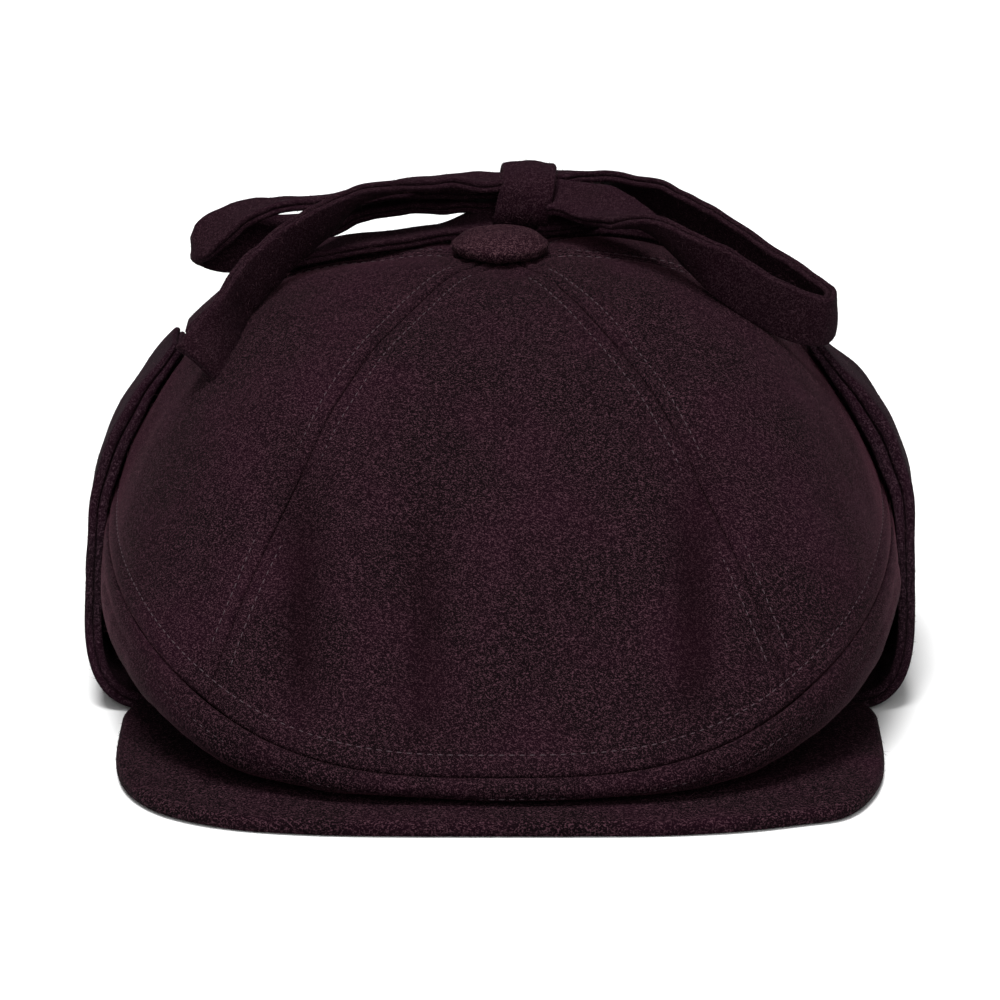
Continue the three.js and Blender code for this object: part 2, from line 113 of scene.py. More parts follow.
def run_along(line: Array) -> Array:
    """Distance of each point of a line from its start, in mm."""
    return np.concatenate([[0.0], np.cumsum(np.linalg.norm(np.diff(line, axis=0), axis=1))])


def read_at(places: Array, run: Array, values: Array) -> Array:
    """The three values of a line's points, read at distances along it."""
    return np.stack([np.interp(places, run, values[:, k]) for k in range(3)], axis=-1)


def unit(vectors: Array) -> Array:
    """The vectors, each at length 1."""
    return vectors / np.maximum(np.linalg.norm(vectors, axis=-1, keepdims=True), 1e-9)


def ripple(points: Array, wavelength: float, seed: int) -> Array:
    """Soft uneven waves in space, from about -1 to 1.

    Args:
        points: places in mm, with X, Y and Z on the last axis.
        wavelength: mean distance between two waves, in mm.
        seed: number that picks the directions of the waves.

    Returns:
        One height for each point.
    """
    rng = np.random.default_rng(seed)
    total = np.zeros(points.shape[:-1])
    waves = 9  # enough that no direction shows
    for _ in range(waves):
        direction = unit(rng.normal(size=3))
        pace = 2.0 * math.pi / (wavelength * rng.uniform(0.7, 1.5))
        total += np.sin(points @ direction * pace + rng.uniform(0.0, 2.0 * math.pi))
    return total / math.sqrt(waves)


def uneven(points: Array, waves: Waves) -> Array:
    """Unevenness of cloth in mm: several ripples on top of each other."""
    return sum(height * ripple(points, wavelength, seed) for height, wavelength, seed in waves)


def grid_normals(points: Array, ring: bool = False) -> Array:
    """Unit normals of a grid of points, first axis crossed with second axis."""
    if ring:
        along = np.roll(points, -1, axis=0) - np.roll(points, 1, axis=0)
    else:
        along = np.gradient(points, axis=0)
    return unit(np.cross(along, np.gradient(points, axis=1)))


def edge_distance(points: Array, ring: bool = False) -> Array:
    """Distance of each grid point from the grid's nearest open border, in mm."""
    def from_ends(axis: int) -> Array:
        """Distance to the nearer end, measured along one axis of the grid."""
        steps = np.linalg.norm(np.diff(points, axis=axis), axis=-1)
        start = [(0, 0), (0, 0)]
        start[axis] = (1, 0)
        run = np.pad(np.cumsum(steps, axis=axis), start)
        whole = np.take(run, [-1], axis=axis)
        return np.minimum(run, whole - run)

    across = from_ends(1)
    return across if ring else np.minimum(across, from_ends(0))


def shares(length: float, step: float, edge: float) -> Array:
    """Shares from 0 to 1 along a length, closer together where an edge is rounded.

    Args:
        length: the length in mm.
        step: distance between points away from the ends, in mm.
        edge: radius of the rounded ends in mm.

    Returns:
        The shares, starting at 0 and ending at 1.
    """
    turn = edge * (1.0 - np.cos(np.linspace(0.0, 0.5 * math.pi, 6)))
    count = max(3, round((length - 2.0 * edge) / step) + 1)
    middle = np.linspace(edge, length - edge, count)[1:-1]
    return np.concatenate([turn, middle, length - turn[::-1]]) / length


def rounded_half(distance: Array, thick: Array | float) -> Array:
    """Half thickness of a ply whose edge is turned as a half circle."""
    radius = 0.5 * thick
    inside = 1.0 - np.clip(distance / radius, 0.0, 1.0)
    return radius * np.sqrt(np.maximum(1.0 - inside * inside, 0.0))


def catmull_rom(points: Array, samples: int) -> Array:
    """A centripetal Catmull-Rom curve through points, evenly spaced in the points' own numbering.

    Args:
        points: the points to pass through, one row each.
        samples: how many points to return.

    Returns:
        The points on the curve.
    """
    ends = [2.0 * points[0] - points[1], *points, 2.0 * points[-1] - points[-2]]
    padded = np.array(ends)
    place = np.linspace(0.0, len(points) - 1.0, samples)
    row = np.minimum(place.astype(int), len(points) - 2)
    t = (place - row)[:, None]
    p0, p1, p2, p3 = (padded[row + k] for k in range(4))

    def gap(a: Array, b: Array) -> Array:
        """Centripetal spacing of two points."""
        return np.maximum(np.linalg.norm(b - a, axis=1, keepdims=True) ** 0.5, 1e-6)

    d0, d1, d2 = gap(p0, p1), gap(p1, p2), gap(p2, p3)
    start = ((p1 - p0) / d0 - (p2 - p0) / (d0 + d1) + (p2 - p1) / d1) * d1
    end = ((p2 - p1) / d1 - (p3 - p1) / (d1 + d2) + (p3 - p2) / d2) * d1
    c2 = -3.0 * p1 + 3.0 * p2 - 2.0 * start - end
    c3 = 2.0 * p1 - 2.0 * p2 + start + end
    return p1 + t * (start + t * (c2 + t * c3))


# ---------- meshes from arrays
@dataclass
class Body:
    """Vertices in mm and faces of one closed mesh, or of several side by side."""

    vertices: Array
    faces: list[Array] = field(default_factory=list)

    def joined(self, other: "Body") -> "Body":
        """This body and another as one."""
        shift = len(self.vertices)
        return Body(np.concatenate([self.vertices, other.vertices]),
                    self.faces + [block + shift for block in other.faces])


def join(bodies: Sequence[Body]) -> Body:
    """Several bodies as one."""
    whole = bodies[0]
    for body in bodies[1:]:
        whole = whole.joined(body)
    return whole


def numbered(*shape: int) -> Array:
    """A grid of vertex numbers."""
    return np.arange(math.prod(shape)).reshape(shape)


def quads(index: Array, ring: bool = False) -> Array:
    """Faces over a grid of vertex numbers."""
    if ring:
        index = np.concatenate([index, index[:1]], axis=0)
    corners = [index[:-1, :-1], index[1:, :-1], index[1:, 1:], index[:-1, 1:]]
    return np.stack(corners, axis=-1).reshape(-1, 4)


def ply(middle: Array, half: Array, ring: bool = False, normals: Optional[Array] = None) -> Body:
    """A layer of cloth: a closed body on both sides of a middle surface.

    Args:
        middle: grid of points, with X, Y and Z on the last axis.
        half: half thickness at each point. It is 0 at the open borders.
        ring: True if the grid's first axis closes on itself.
        normals: directions of the thickness, if not the grid's own.

    Returns:
        The body, whose two faces share the vertices of its open borders.
    """
    if normals is None:
        normals = grid_normals(middle, ring)
    rows, cols = half.shape
    front = numbered(rows, cols)
    inner = np.zeros((rows, cols), dtype=bool)
    inner[:, 1:-1] = True
    if not ring:
        inner[[0, -1], :] = False
    back = front.copy()
    back[inner] = rows * cols + np.arange(inner.sum())
    outward = normals * half[..., None]
    vertices = np.concatenate([(middle + outward).reshape(-1, 3), (middle - outward)[inner]])
    return Body(vertices, [quads(front, ring), quads(back, ring)[:, ::-1]])


def edged_ply(middle: Array, thick: float, ring: bool = False) -> Body:
    """A ply of even thickness whose open borders are turned round."""
    return ply(middle, rounded_half(edge_distance(middle, ring), thick), ring)


def two_plies(middle: Array, thick: Array | float, ring: bool = False,
              fold: Array | float = 1.0) -> Body:
    """Two plies sewn face to face, with the groove between their edges.

    Args:
        middle: grid of points between the plies.
        thick: thickness of both together, in mm, one number or one for each point.
        ring: True if the grid's first axis closes on itself.
        fold: how much fuller or thinner each ply is, one number or one for each point.

    Returns:
        The two closed plies as one body.
    """
    normals = grid_normals(middle, ring)
    both = np.broadcast_to(np.asarray(thick, dtype=float), middle.shape[:2])
    half = rounded_half(edge_distance(middle, ring), 0.5 * both) * fold
    offset = 0.25 * both[..., None] * normals
    return join([ply(middle + way * offset, half, ring, normals) for way in (1.0, -1.0)])


@dataclass(frozen=True)
class Stitch:
    """One sewn stitch on cloth: an arched bead of thread with sunk ends. Sizes are in mm."""

    pitch: float = 2.55  # distance between the starts of two stitches
    long: float = 1.95
    thick: float = 0.4
    sides: int = 5  # vertices in each ring round the thread
    places: tuple[float, ...] = (0.0, 0.16, 0.5, 0.84, 1.0)  # of the rings, in lengths
    swell: tuple[float, ...] = (0.45, 0.9, 1.0, 0.9, 0.45)  # their width, in threads
    rise: tuple[float, ...] = (-0.55, 0.1, 0.3, 0.1, -0.55)  # their height, in threads

    def row(self, line: Array, normals: Array) -> Body:
        """A row of stitches.

        Args:
            line: points along the row, on the cloth's face.
            normals: the cloth's normals at those points.

        Returns:
            All stitches of the row as one body.
        """
        run = run_along(line)
        starts = np.arange(0.5 * self.pitch, run[-1] - self.pitch, self.pitch)
        at = starts[:, None] + np.array(self.places)[None, :] * self.long
        centre = read_at(at, run, line)
        up = unit(read_at(at, run, normals))
        aside = unit(np.cross(unit(np.gradient(centre, axis=1)), up))
        centre = centre + up * (np.array(self.rise) * self.thick)[None, :, None]
        turn = np.linspace(0.0, 2.0 * math.pi, self.sides, endpoint=False)[None, None, :, None]
        swell = (np.array(self.swell) * 0.5 * self.thick)[None, :, None, None]
        ring = (aside[:, :, None, :] * np.cos(turn) + up[:, :, None, :] * np.sin(turn)) * swell
        number = numbered(len(starts), len(self.places), self.sides)
        closed = np.concatenate([number, number[:, :, :1]], axis=2)
        walls = np.stack([closed[:, :-1, :-1], closed[:, :-1, 1:],
                          closed[:, 1:, 1:], closed[:, 1:, :-1]], axis=-1)
        caps = np.concatenate([number[:, 0, ::-1], number[:, -1, :]])
        return Body((centre[:, :, None, :] + ring).reshape(-1, 3), [walls.reshape(-1, 4), caps])


@dataclass(frozen=True)
class Nap:
    """Short wool fibres standing out of cloth, each a thin three-sided spike. Sizes are in mm."""

    count: int  # how many fibres are sown over the whole body
    pile: Pile
    seed: int  # fixes their places
    keep: Optional[Keep] = None
    thick: float = 0.11  # at the root
    sunk: float = 0.12  # how deep the root stands in the cloth
    lying_spread: float = 0.16  # of the share lying flat
    lying_most: float = 0.97
    length_spread: float = 0.38  # of the length's logarithm
    thinnest: float = 0.6  # in shares of the thickness
    thickest: float = 1.15
    corners: tuple[float, ...] = (0.0, 2.094, 4.189)  # thirds of a turn

    def on(self, body: Body) -> Body:
        """The fibres on a body of cloth, as one body."""
        rng = np.random.default_rng(self.seed)
        halves = [block[:, [0, 2, 3]] for block in body.faces if block.shape[1] == 4]
        faces = np.concatenate([block[:, [0, 1, 2]] for block in body.faces] + halves)
        corner = body.vertices[faces]
        square = np.cross(corner[:, 1] - corner[:, 0], corner[:, 2] - corner[:, 0])
        area = np.linalg.norm(square, axis=1)
        chosen = rng.choice(len(faces), size=self.count, p=area / area.sum())
        a, b = rng.random((2, self.count, 1))
        flip = a + b > 1.0
        a, b = np.where(flip, 1.0 - a, a), np.where(flip, 1.0 - b, b)
        corner = corner[chosen]
        root = corner[:, 0] * (1.0 - a - b) + corner[:, 1] * a + corner[:, 2] * b
        normal = unit(square[chosen])
        if self.keep is not None:
            kept = self.keep(root, normal)
            root, normal = root[kept], normal[kept]
        number = len(root)
        flat, mean_length = self.pile.value
        tangent = unit(np.cross(normal, rng.normal(size=(number, 3))))
        lying = np.clip(rng.normal(flat, self.lying_spread, size=(number, 1)), 0.0, self.lying_most)
        way = unit(normal * (1.0 - lying) + tangent * lying)
        length = mean_length * np.exp(rng.normal(0.0, self.length_spread, size=(number, 1)))
        aside = unit(np.cross(way, normal))
        third = np.cross(way, aside)
        base = root - self.sunk * normal
        radius = 0.5 * self.thick * rng.uniform(self.thinnest, self.thickest, size=(number, 1))
        ring = [base + radius * (math.cos(t) * aside + math.sin(t) * third) for t in self.corners]
        vertices = np.stack([*ring, base + way * length], axis=1).reshape(-1, 3)
        vertices[:, 2] = np.maximum(vertices[:, 2], 0.0)
        first = 4 * np.arange(number)[:, None]
        spikes = [first + spike for spike in ([0, 1, 3], [1, 2, 3], [2, 0, 3], [2, 1, 0])]
        return Body(vertices, [np.concatenate(spikes)])


def outside(root: Array, normal: Array) -> Array:
    """Whether cloth faces away from the inside of the cap."""
    return np.sum(normal * (root - NAP_INSIDE), axis=1) > 0.0


def facing_above(least: float) -> Keep:
    """Keeps the fibres on cloth whose normal has more than this Z."""
    return lambda root, normal: normal[:, 2] > least


def standing_above(least: float) -> Keep:
    """Keeps the fibres whose roots are higher than this, in mm."""
    return lambda root, normal: root[:, 2] > least


# ---------- finishes
def linear(hex_colour: str) -> Colour:
    """An sRGB hex colour such as "3b1822" as linear red, green, blue and alpha."""
    def channel(text: str) -> float:
        """One channel, from sRGB to linear."""
        value = int(text, 16) / 255.0
        return value / 12.92 if value <= 0.04045 else ((value + 0.055) / 1.055) ** 2.4

    return (*(channel(hex_colour[k:k + 2]) for k in (0, 2, 4)), 1.0)


def add_node(material: Material, kind: str, settings: Optional[dict] = None,
             links: Optional[dict] = None) -> bpy.types.Node:
    """Adds one node to a material, with its settings and links.

    Args:
        material: the material whose tree gets the node.
        kind: the node's type, such as "ShaderNodeTexNoise".
        settings: values by name, of the node's own properties or of its input sockets.
        links: output sockets by the name or number of the input that they go into.

    Returns:
        The new node.
    """
    node = material.node_tree.nodes.new(kind)
    for name, value in (settings or {}).items():
        if isinstance(name, str) and hasattr(node, name):
            setattr(node, name, value)
        else:
            node.inputs[name].default_value = value
    for name, socket in (links or {}).items():
        material.node_tree.links.new(socket, node.inputs[name])
    return node


@dataclass(frozen=True)
class Melton:
    """Fulled and brushed wool cloth: a dull, dark ground under a felt of fine lighter fibres.

    The eye sees no weave, only short crossing fibres over a slightly cloudy colour. Along the
    crown's upright folds the colour is blended towards a darker one: painted shade.
    """

    name: str
    ground: str = "080305"  # between the fibres
    fibre: str = "39242b"  # the fibres that catch light
    cloud: str = "12040b"  # where the dye looks a little bluer
    flat: str = "0a0104"  # painted shade: the colour blended in along the crown's upright folds
    fold_shade_strength: float = 0.62  # how much of that painted shade colour shows where a fold is deepest
    sheen: float = 0.0  # pale bloom where the cloth turns away
    sheen_tint: str = "b46c82"
    fibre_mm: float = 0.31  # drawn about ten times as thick as wool, so that it shows
    fibre_long: float = 3.2  # length of a fibre over its thickness
    turns: tuple[tuple[float, float, float], ...] = (  # of the four layers of fibres
        (0.0, 1.5, 0.3), (0.2, 0.1, 0.0), (0.5, 0.8, -0.3), (-0.5, -0.8, 0.3))
    lit_from: float = 0.607  # the noise from which a fibre stands out of the ground
    lit_to: float = 0.695
    cloud_mm: float = 26.0
    cloud_from: float = 0.42
    cloud_to: float = 0.68
    bump_mm: float = 0.22  # height of the fibres in the relief
    bump_strength: float = 0.8

    def material(self) -> Material:
        """Builds the material."""
        made, place = placed_material(self.name)
        layers = [self._fibres(made, place, turn) for turn in self.turns]
        most = layers[0]
        for layer in layers[1:]:
            most = add_node(made, "ShaderNodeMath", {"operation": "MAXIMUM"},
                            {0: most, 1: layer}).outputs[0]
        cloudy = add_node(made, "ShaderNodeTexNoise",
                          {"Scale": 1.0 / (self.cloud_mm * MM), "Detail": 3.0},
                          {"Vector": place}).outputs[0]
        lit = spread(made, most, self.lit_from, self.lit_to)
        patch = spread(made, cloudy, self.cloud_from, self.cloud_to)
        base = blend(made, patch, linear(self.ground), linear(self.cloud))
        fibres = blend(made, lit, base, linear(self.fibre))
        # painted shade along the crown's upright folds, read from the mesh attribute
        fold_shade = add_node(made, "ShaderNodeAttribute", {"attribute_name": PRESSED}).outputs["Fac"]
        flat = add_node(made, "ShaderNodeMath", {"operation": "MULTIPLY", 1: self.fold_shade_strength},
                        {0: fold_shade}).outputs[0]
        tone = blend(made, flat, fibres, linear(self.flat))
        bump = bumped(made, most, self.bump_strength, self.bump_mm)
        shader(made, {"Roughness": 0.95, "Specular IOR Level": 0.03, "Sheen Weight": self.sheen,
                      "Sheen Roughness": 0.25, "Sheen Tint": linear(self.sheen_tint)},
               {"Base Color": tone, "Normal": bump})
        return made

    def _fibres(self, made: Material, place: Socket,
                turn: tuple[float, float, float]) -> Socket:
        """Fine noise drawn out in one direction: the fibres that lie that way."""
        thick = self.fibre_mm * MM
        turned = add_node(made, "ShaderNodeMapping",
                          {"vector_type": "TEXTURE", "Rotation": turn,
                           "Scale": (thick, thick, thick * self.fibre_long)},
                          {"Vector": place}).outputs[0]
        return add_node(made, "ShaderNodeTexNoise",
                        {"Scale": 1.0, "Detail": 1.5, "Roughness": 0.55},
                        {"Vector": turned}).outputs[0]


@dataclass(frozen=True)
class WoolFibre:
    """Loose wool fibres of the nap: matt, and paler than the cloth, so that the edges look soft."""

    name: str = "wool_fibre"
    colour: str = "4f343c"
    root: str = "1c0c11"
    patch_mm: float = 1.5

    def material(self) -> Material:
        """Builds the material."""
        made, place = placed_material(self.name)
        mixed = add_node(made, "ShaderNodeTexNoise", {"Scale": 1.0 / (self.patch_mm * MM)},
                         {"Vector": place}).outputs[0]
        tone = ramp(made, mixed, ((0.35, linear(self.root)), (0.68, linear(self.colour))))
        shader(made, {"Roughness": 0.8, "Specular IOR Level": 0.1}, {"Base Color": tone})
        return made


@dataclass(frozen=True)
class SewingThread:
    """Spun polyester thread in the cloth's colour: paler and smoother, with a fine twist."""

    name: str = "polyester_thread"
    colour: str = "3c2a32"
    # painted shade: the darker colour in the hollows of the twist
    hollow: str = "1a0c11"
    twist_mm: float = 1.2

    def material(self) -> Material:
        """Builds the material."""
        made, place = placed_material(self.name)
        twist = add_node(made, "ShaderNodeTexWave",
                         {"Scale": 1.0 / (self.twist_mm * MM), "Distortion": 2.0},
                         {"Vector": place}).outputs[1]
        tone = ramp(made, twist, ((0.2, linear(self.hollow)), (0.8, linear(self.colour))))
        shader(made, {"Roughness": 0.62, "Specular IOR Level": 0.25}, {"Base Color": tone})
        return made


@dataclass(frozen=True)
class CottonTwill:
    """Black-brown cotton twill of the headband: smooth, with fine slanting ribs."""

    name: str = "cotton_twill"
    colour: str = "271a1e"
    # painted shade: the darker colour in the hollows between the ribs, on top of their relief
    hollow: str = "100a0c"
    rib_mm: float = 1.1  # drawn twice as coarse as real twill, so that it shows
    waves: float = 0.31  # scale of the wave node for one rib in each unit
    slant: float = 0.9  # of the ribs, in radians
    rib_deep: float = 0.15

    def material(self) -> Material:
        """Builds the material."""
        made, place = placed_material(self.name)
        turned = add_node(made, "ShaderNodeMapping", {"Rotation": (0.0, self.slant, 0.0)},
                          {"Vector": place}).outputs[0]
        ribs = add_node(made, "ShaderNodeTexWave",
                        {"bands_direction": "Z", "Scale": self.waves / (self.rib_mm * MM),
                         "Distortion": 1.2, "Detail": 2.0}, {"Vector": turned}).outputs[1]
        tone = ramp(made, ribs, ((0.1, linear(self.hollow)), (0.9, linear(self.colour))))
        shader(made, {"Roughness": 0.85, "Specular IOR Level": 0.25, "Sheen Weight": 0.1},
               {"Base Color": tone, "Normal": bumped(made, ribs, 0.6, self.rib_deep)})
        return made


@dataclass(frozen=True)
class StudioPaper:
    """Matt white background paper of the studio floor."""

    name: str = "matt_studio_paper"
    colour: str = "dcdcdc"

    def material(self) -> Material:
        """Builds the material."""
        made = new_material(self.name)
        shader(made, {"Base Color": linear(self.colour), "Roughness": 1.0,
                      "Specular IOR Level": 0.0}, {})
        return made


def new_material(name: str) -> Material:
    """An empty node material."""
    made = bpy.data.materials.new(name)
    made.use_nodes = True
    made.node_tree.nodes.clear()
    return made


def placed_material(name: str) -> tuple[Material, Socket]:
    """An empty node material, and the socket of the place on the piece, in metres."""
    made = new_material(name)
    return made, add_node(made, "ShaderNodeTexCoord").outputs["Object"]


def shader(material: Material, settings: dict, links: dict) -> None:
    """Ends a material with its one Principled shader."""
    node = add_node(material, "ShaderNodeBsdfPrincipled", settings, links)
    add_node(material, "ShaderNodeOutputMaterial", None, {"Surface": node.outputs[0]})


def spread(material: Material, value: Socket, low: float,
           high: float) -> Socket:
    """A value stretched to run from 0 at low to 1 at high."""
    return add_node(material, "ShaderNodeMapRange", {"From Min": low, "From Max": high},
                    {"Value": value}).outputs[0]


def bumped(material: Material, height: Socket, strength: float,
           deep_mm: float) -> Socket:
    """The normal of a surface with a fine relief."""
    return add_node(material, "ShaderNodeBump", {"Strength": strength, "Distance": deep_mm * MM},
                    {"Height": height}).outputs[0]


def blend(material: Material, share: Socket,
          low: Colour | Socket, high: Colour) -> Socket:
    """Blends from one colour to another by a share.

    Args:
        material: the material that gets the node.
        share: the socket of the share, from 0 to 1.
        low: the colour at 0, or the socket that it comes from.
        high: the colour at 1.

    Returns:
        The socket of the blended colour.
    """
    first, second, result = 6, 7, 2  # the colour sockets of the node
    linked = isinstance(low, Socket)
    settings = {"data_type": "RGBA", second: high} | ({} if linked else {first: low})
    links = {0: share} | ({first: low} if linked else {})
    return add_node(material, "ShaderNodeMix", settings, links).outputs[result]


def ramp(material: Material, value: Socket,
         stops: Sequence[tuple[float, Colour]]) -> Socket:
    """Turns a value into colours between two stops."""
    node = add_node(material, "ShaderNodeValToRGB", None, {0: value})
    for element, (place, colour) in zip(node.color_ramp.elements, stops):
        element.position = place
        element.color = colour
    return node.outputs[0]


# ---------- placing pieces
@dataclass
class Workshop:
    """Puts finished bodies into the frame, as pieces that ride on the cap."""

    origin: Vector
    materials: dict[str, Material] = field(default_factory=dict)

    def finish(self, finish: object) -> Material:
        """The material of a finish, built once."""
        if finish.name not in self.materials:
            self.materials[finish.name] = finish.material()
        return self.materials[finish.name]

    def clothed(self, node: str, body: Body, cloth: Melton, sown: Nap,
                fold_shade: Optional[Array] = None) -> None:
        """Makes the cloth that stands for a CAD node, and the nap on it.

        Args:
            node: the CAD node's name.
            body: the cloth in mm, about the axis of the head opening.
            cloth: the dataclass of its material.
            sown: the nap.
            fold_shade: strength of the painted shade along the crown's folds at each vertex, from 0
                to 1.
        """
        self.piece(f"{node}_cloth", body, cloth, [node], fold_shade)
        self.piece(f"{node}_nap", sown.on(body), WoolFibre())

    def piece(self, name: str, body: Body, finish: object,
              replaces: Sequence[str] = (), fold_shade: Optional[Array] = None) -> None:
        """Makes an object of a body and dresses it.

        Args:
            name: the object's name.
            body: its mesh in mm, about the axis of the head opening.
            finish: the dataclass of its material.
            replaces: the CAD nodes that it stands for.
            fold_shade: strength of the painted shade along the crown's folds at each vertex, from 0
                to 1.
        """
        mesh = bpy.data.meshes.new(name)
        vertices = body.vertices * MM + np.array(self.origin)
        faces = [face for block in body.faces for face in block.tolist()]
        mesh.from_pydata(vertices.tolist(), [], faces)
        if fold_shade is not None:
            mesh.attributes.new(PRESSED, "FLOAT", "POINT").data.foreach_set("value", fold_shade)
        mesh.validate()
        mesh.polygons.foreach_set("use_smooth", np.ones(len(mesh.polygons), dtype=bool))
        mesh.materials.append(self.finish(finish))
        made = bpy.data.objects.new(name, mesh)
        bpy.context.scene.collection.objects.link(made)
        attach(made, BODY)
        if replaces:
            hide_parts(*replaces)
        log.info("%s: %d vertices, %d faces", name, len(mesh.vertices), len(mesh.polygons))


# ---------- the cap's form
@dataclass(frozen=True)
class CapForm:
    """Plan and profile that every sub-assembly follows. Sizes are in mm."""

    head_wide: float = 86.0  # half the width of the head opening
    head_long: float = 96.0  # half its length
    band_thick: float = 3.0
    rim_wide: float = 105.0  # from the axis to the rim seam, at the sides
    rim_front: float = 139.0
    rim_back: float = 118.0
    rim_low: float = 12.0  # height of the rim seam in front
    rim_rise: float = 39.0  # how much higher it would end far behind
    rim_rise_over: float = 45.0  # within how far it makes most of that rise
    squareness: float = 2.7  # of the rim seam's plan: 2 is an ellipse
    squarer: float = 0.3  # how much more it is in front
    inward: float = 0.9  # which way the rim moves for each mm of depth
    down: float = 0.36
    top: float = 115.0
    fall_front: float = 2.0  # how late the crown falls off towards the rim
    fall_side: float = 3.8
    fall_back: float = 2.9
    fall_lean: float = 0.15  # how much later on the left, and earlier on the right
    swell: float = 0.7  # of the wall below the rim seam
    swell_over: float = 16.0
    melton: float = 2.5  # thickness of one layer

    def band_reach(self, angle: Array, outside: float = 0.0) -> Array:
        """Distance from the axis to the head opening."""
        return 1.0 / np.hypot(np.sin(angle) / (self.head_wide + outside),
                              np.cos(angle) / (self.head_long + outside))

    def rim_reach(self, angle: Array) -> Array:
        """Distance from the axis to the rim seam."""
        power = self.squareness + self.squarer * np.cos(angle)
        long = np.where(np.cos(angle) > 0.0, self.rim_front, self.rim_back)
        return ((np.abs(np.sin(angle)) / self.rim_wide) ** power
                + (np.abs(np.cos(angle)) / long) ** power) ** (-1.0 / power)

    def rim_height(self, angle: Array) -> Array:
        """Height of the rim seam."""
        behind = self.rim_front - self.rim_reach(angle) * np.cos(angle)
        return self.rim_low + self.rim_rise * (1.0 - np.exp(-behind / self.rim_rise_over))

    def fall_power(self, angle: Array) -> Array:
        """Exponent of the crown's slope."""
        end = np.where(np.cos(angle) > 0.0, self.fall_front, self.fall_back)
        aside = np.sin(angle)
        return mix(end, self.fall_side, np.abs(aside) ** 3) - self.fall_lean * aside

    def crown(self, angle: Array, share: Array, depth: Array = 0.0) -> Array:
        """The crown's face without its seams: share 0 is the top and 1 the rim."""
        reach = self.rim_reach(angle) - self.inward * depth
        rim_z = self.rim_height(angle) - self.down * depth
        top = self.top - depth
        fall = np.clip(share, 0.0, 1.2) ** self.fall_power(angle)
        return polar(angle, share * reach, rim_z + (top - rim_z) * (1.0 - fall))

    def crown_over(self, x: Array, y: Array) -> Array:
        """The crown's face above points of the plan."""
        angle = np.arctan2(x, -y)
        return self.crown(angle, np.hypot(x, y) / self.rim_reach(angle))

    def side_reach(self, angle: Array, height: Array) -> Array:
        """Distance from the axis to the outside of crown or wall at a height."""
        rim_z = self.rim_height(angle)
        below = self.rim_reach(angle) + self.swell * smooth(0.0, self.swell_over, rim_z - height)
        rise = np.clip((height - rim_z) / (self.top - rim_z), 0.0, 0.999)
        above = self.rim_reach(angle) * (1.0 - rise) ** (1.0 / self.fall_power(angle))
        return np.where(height <= rim_z, below, above)


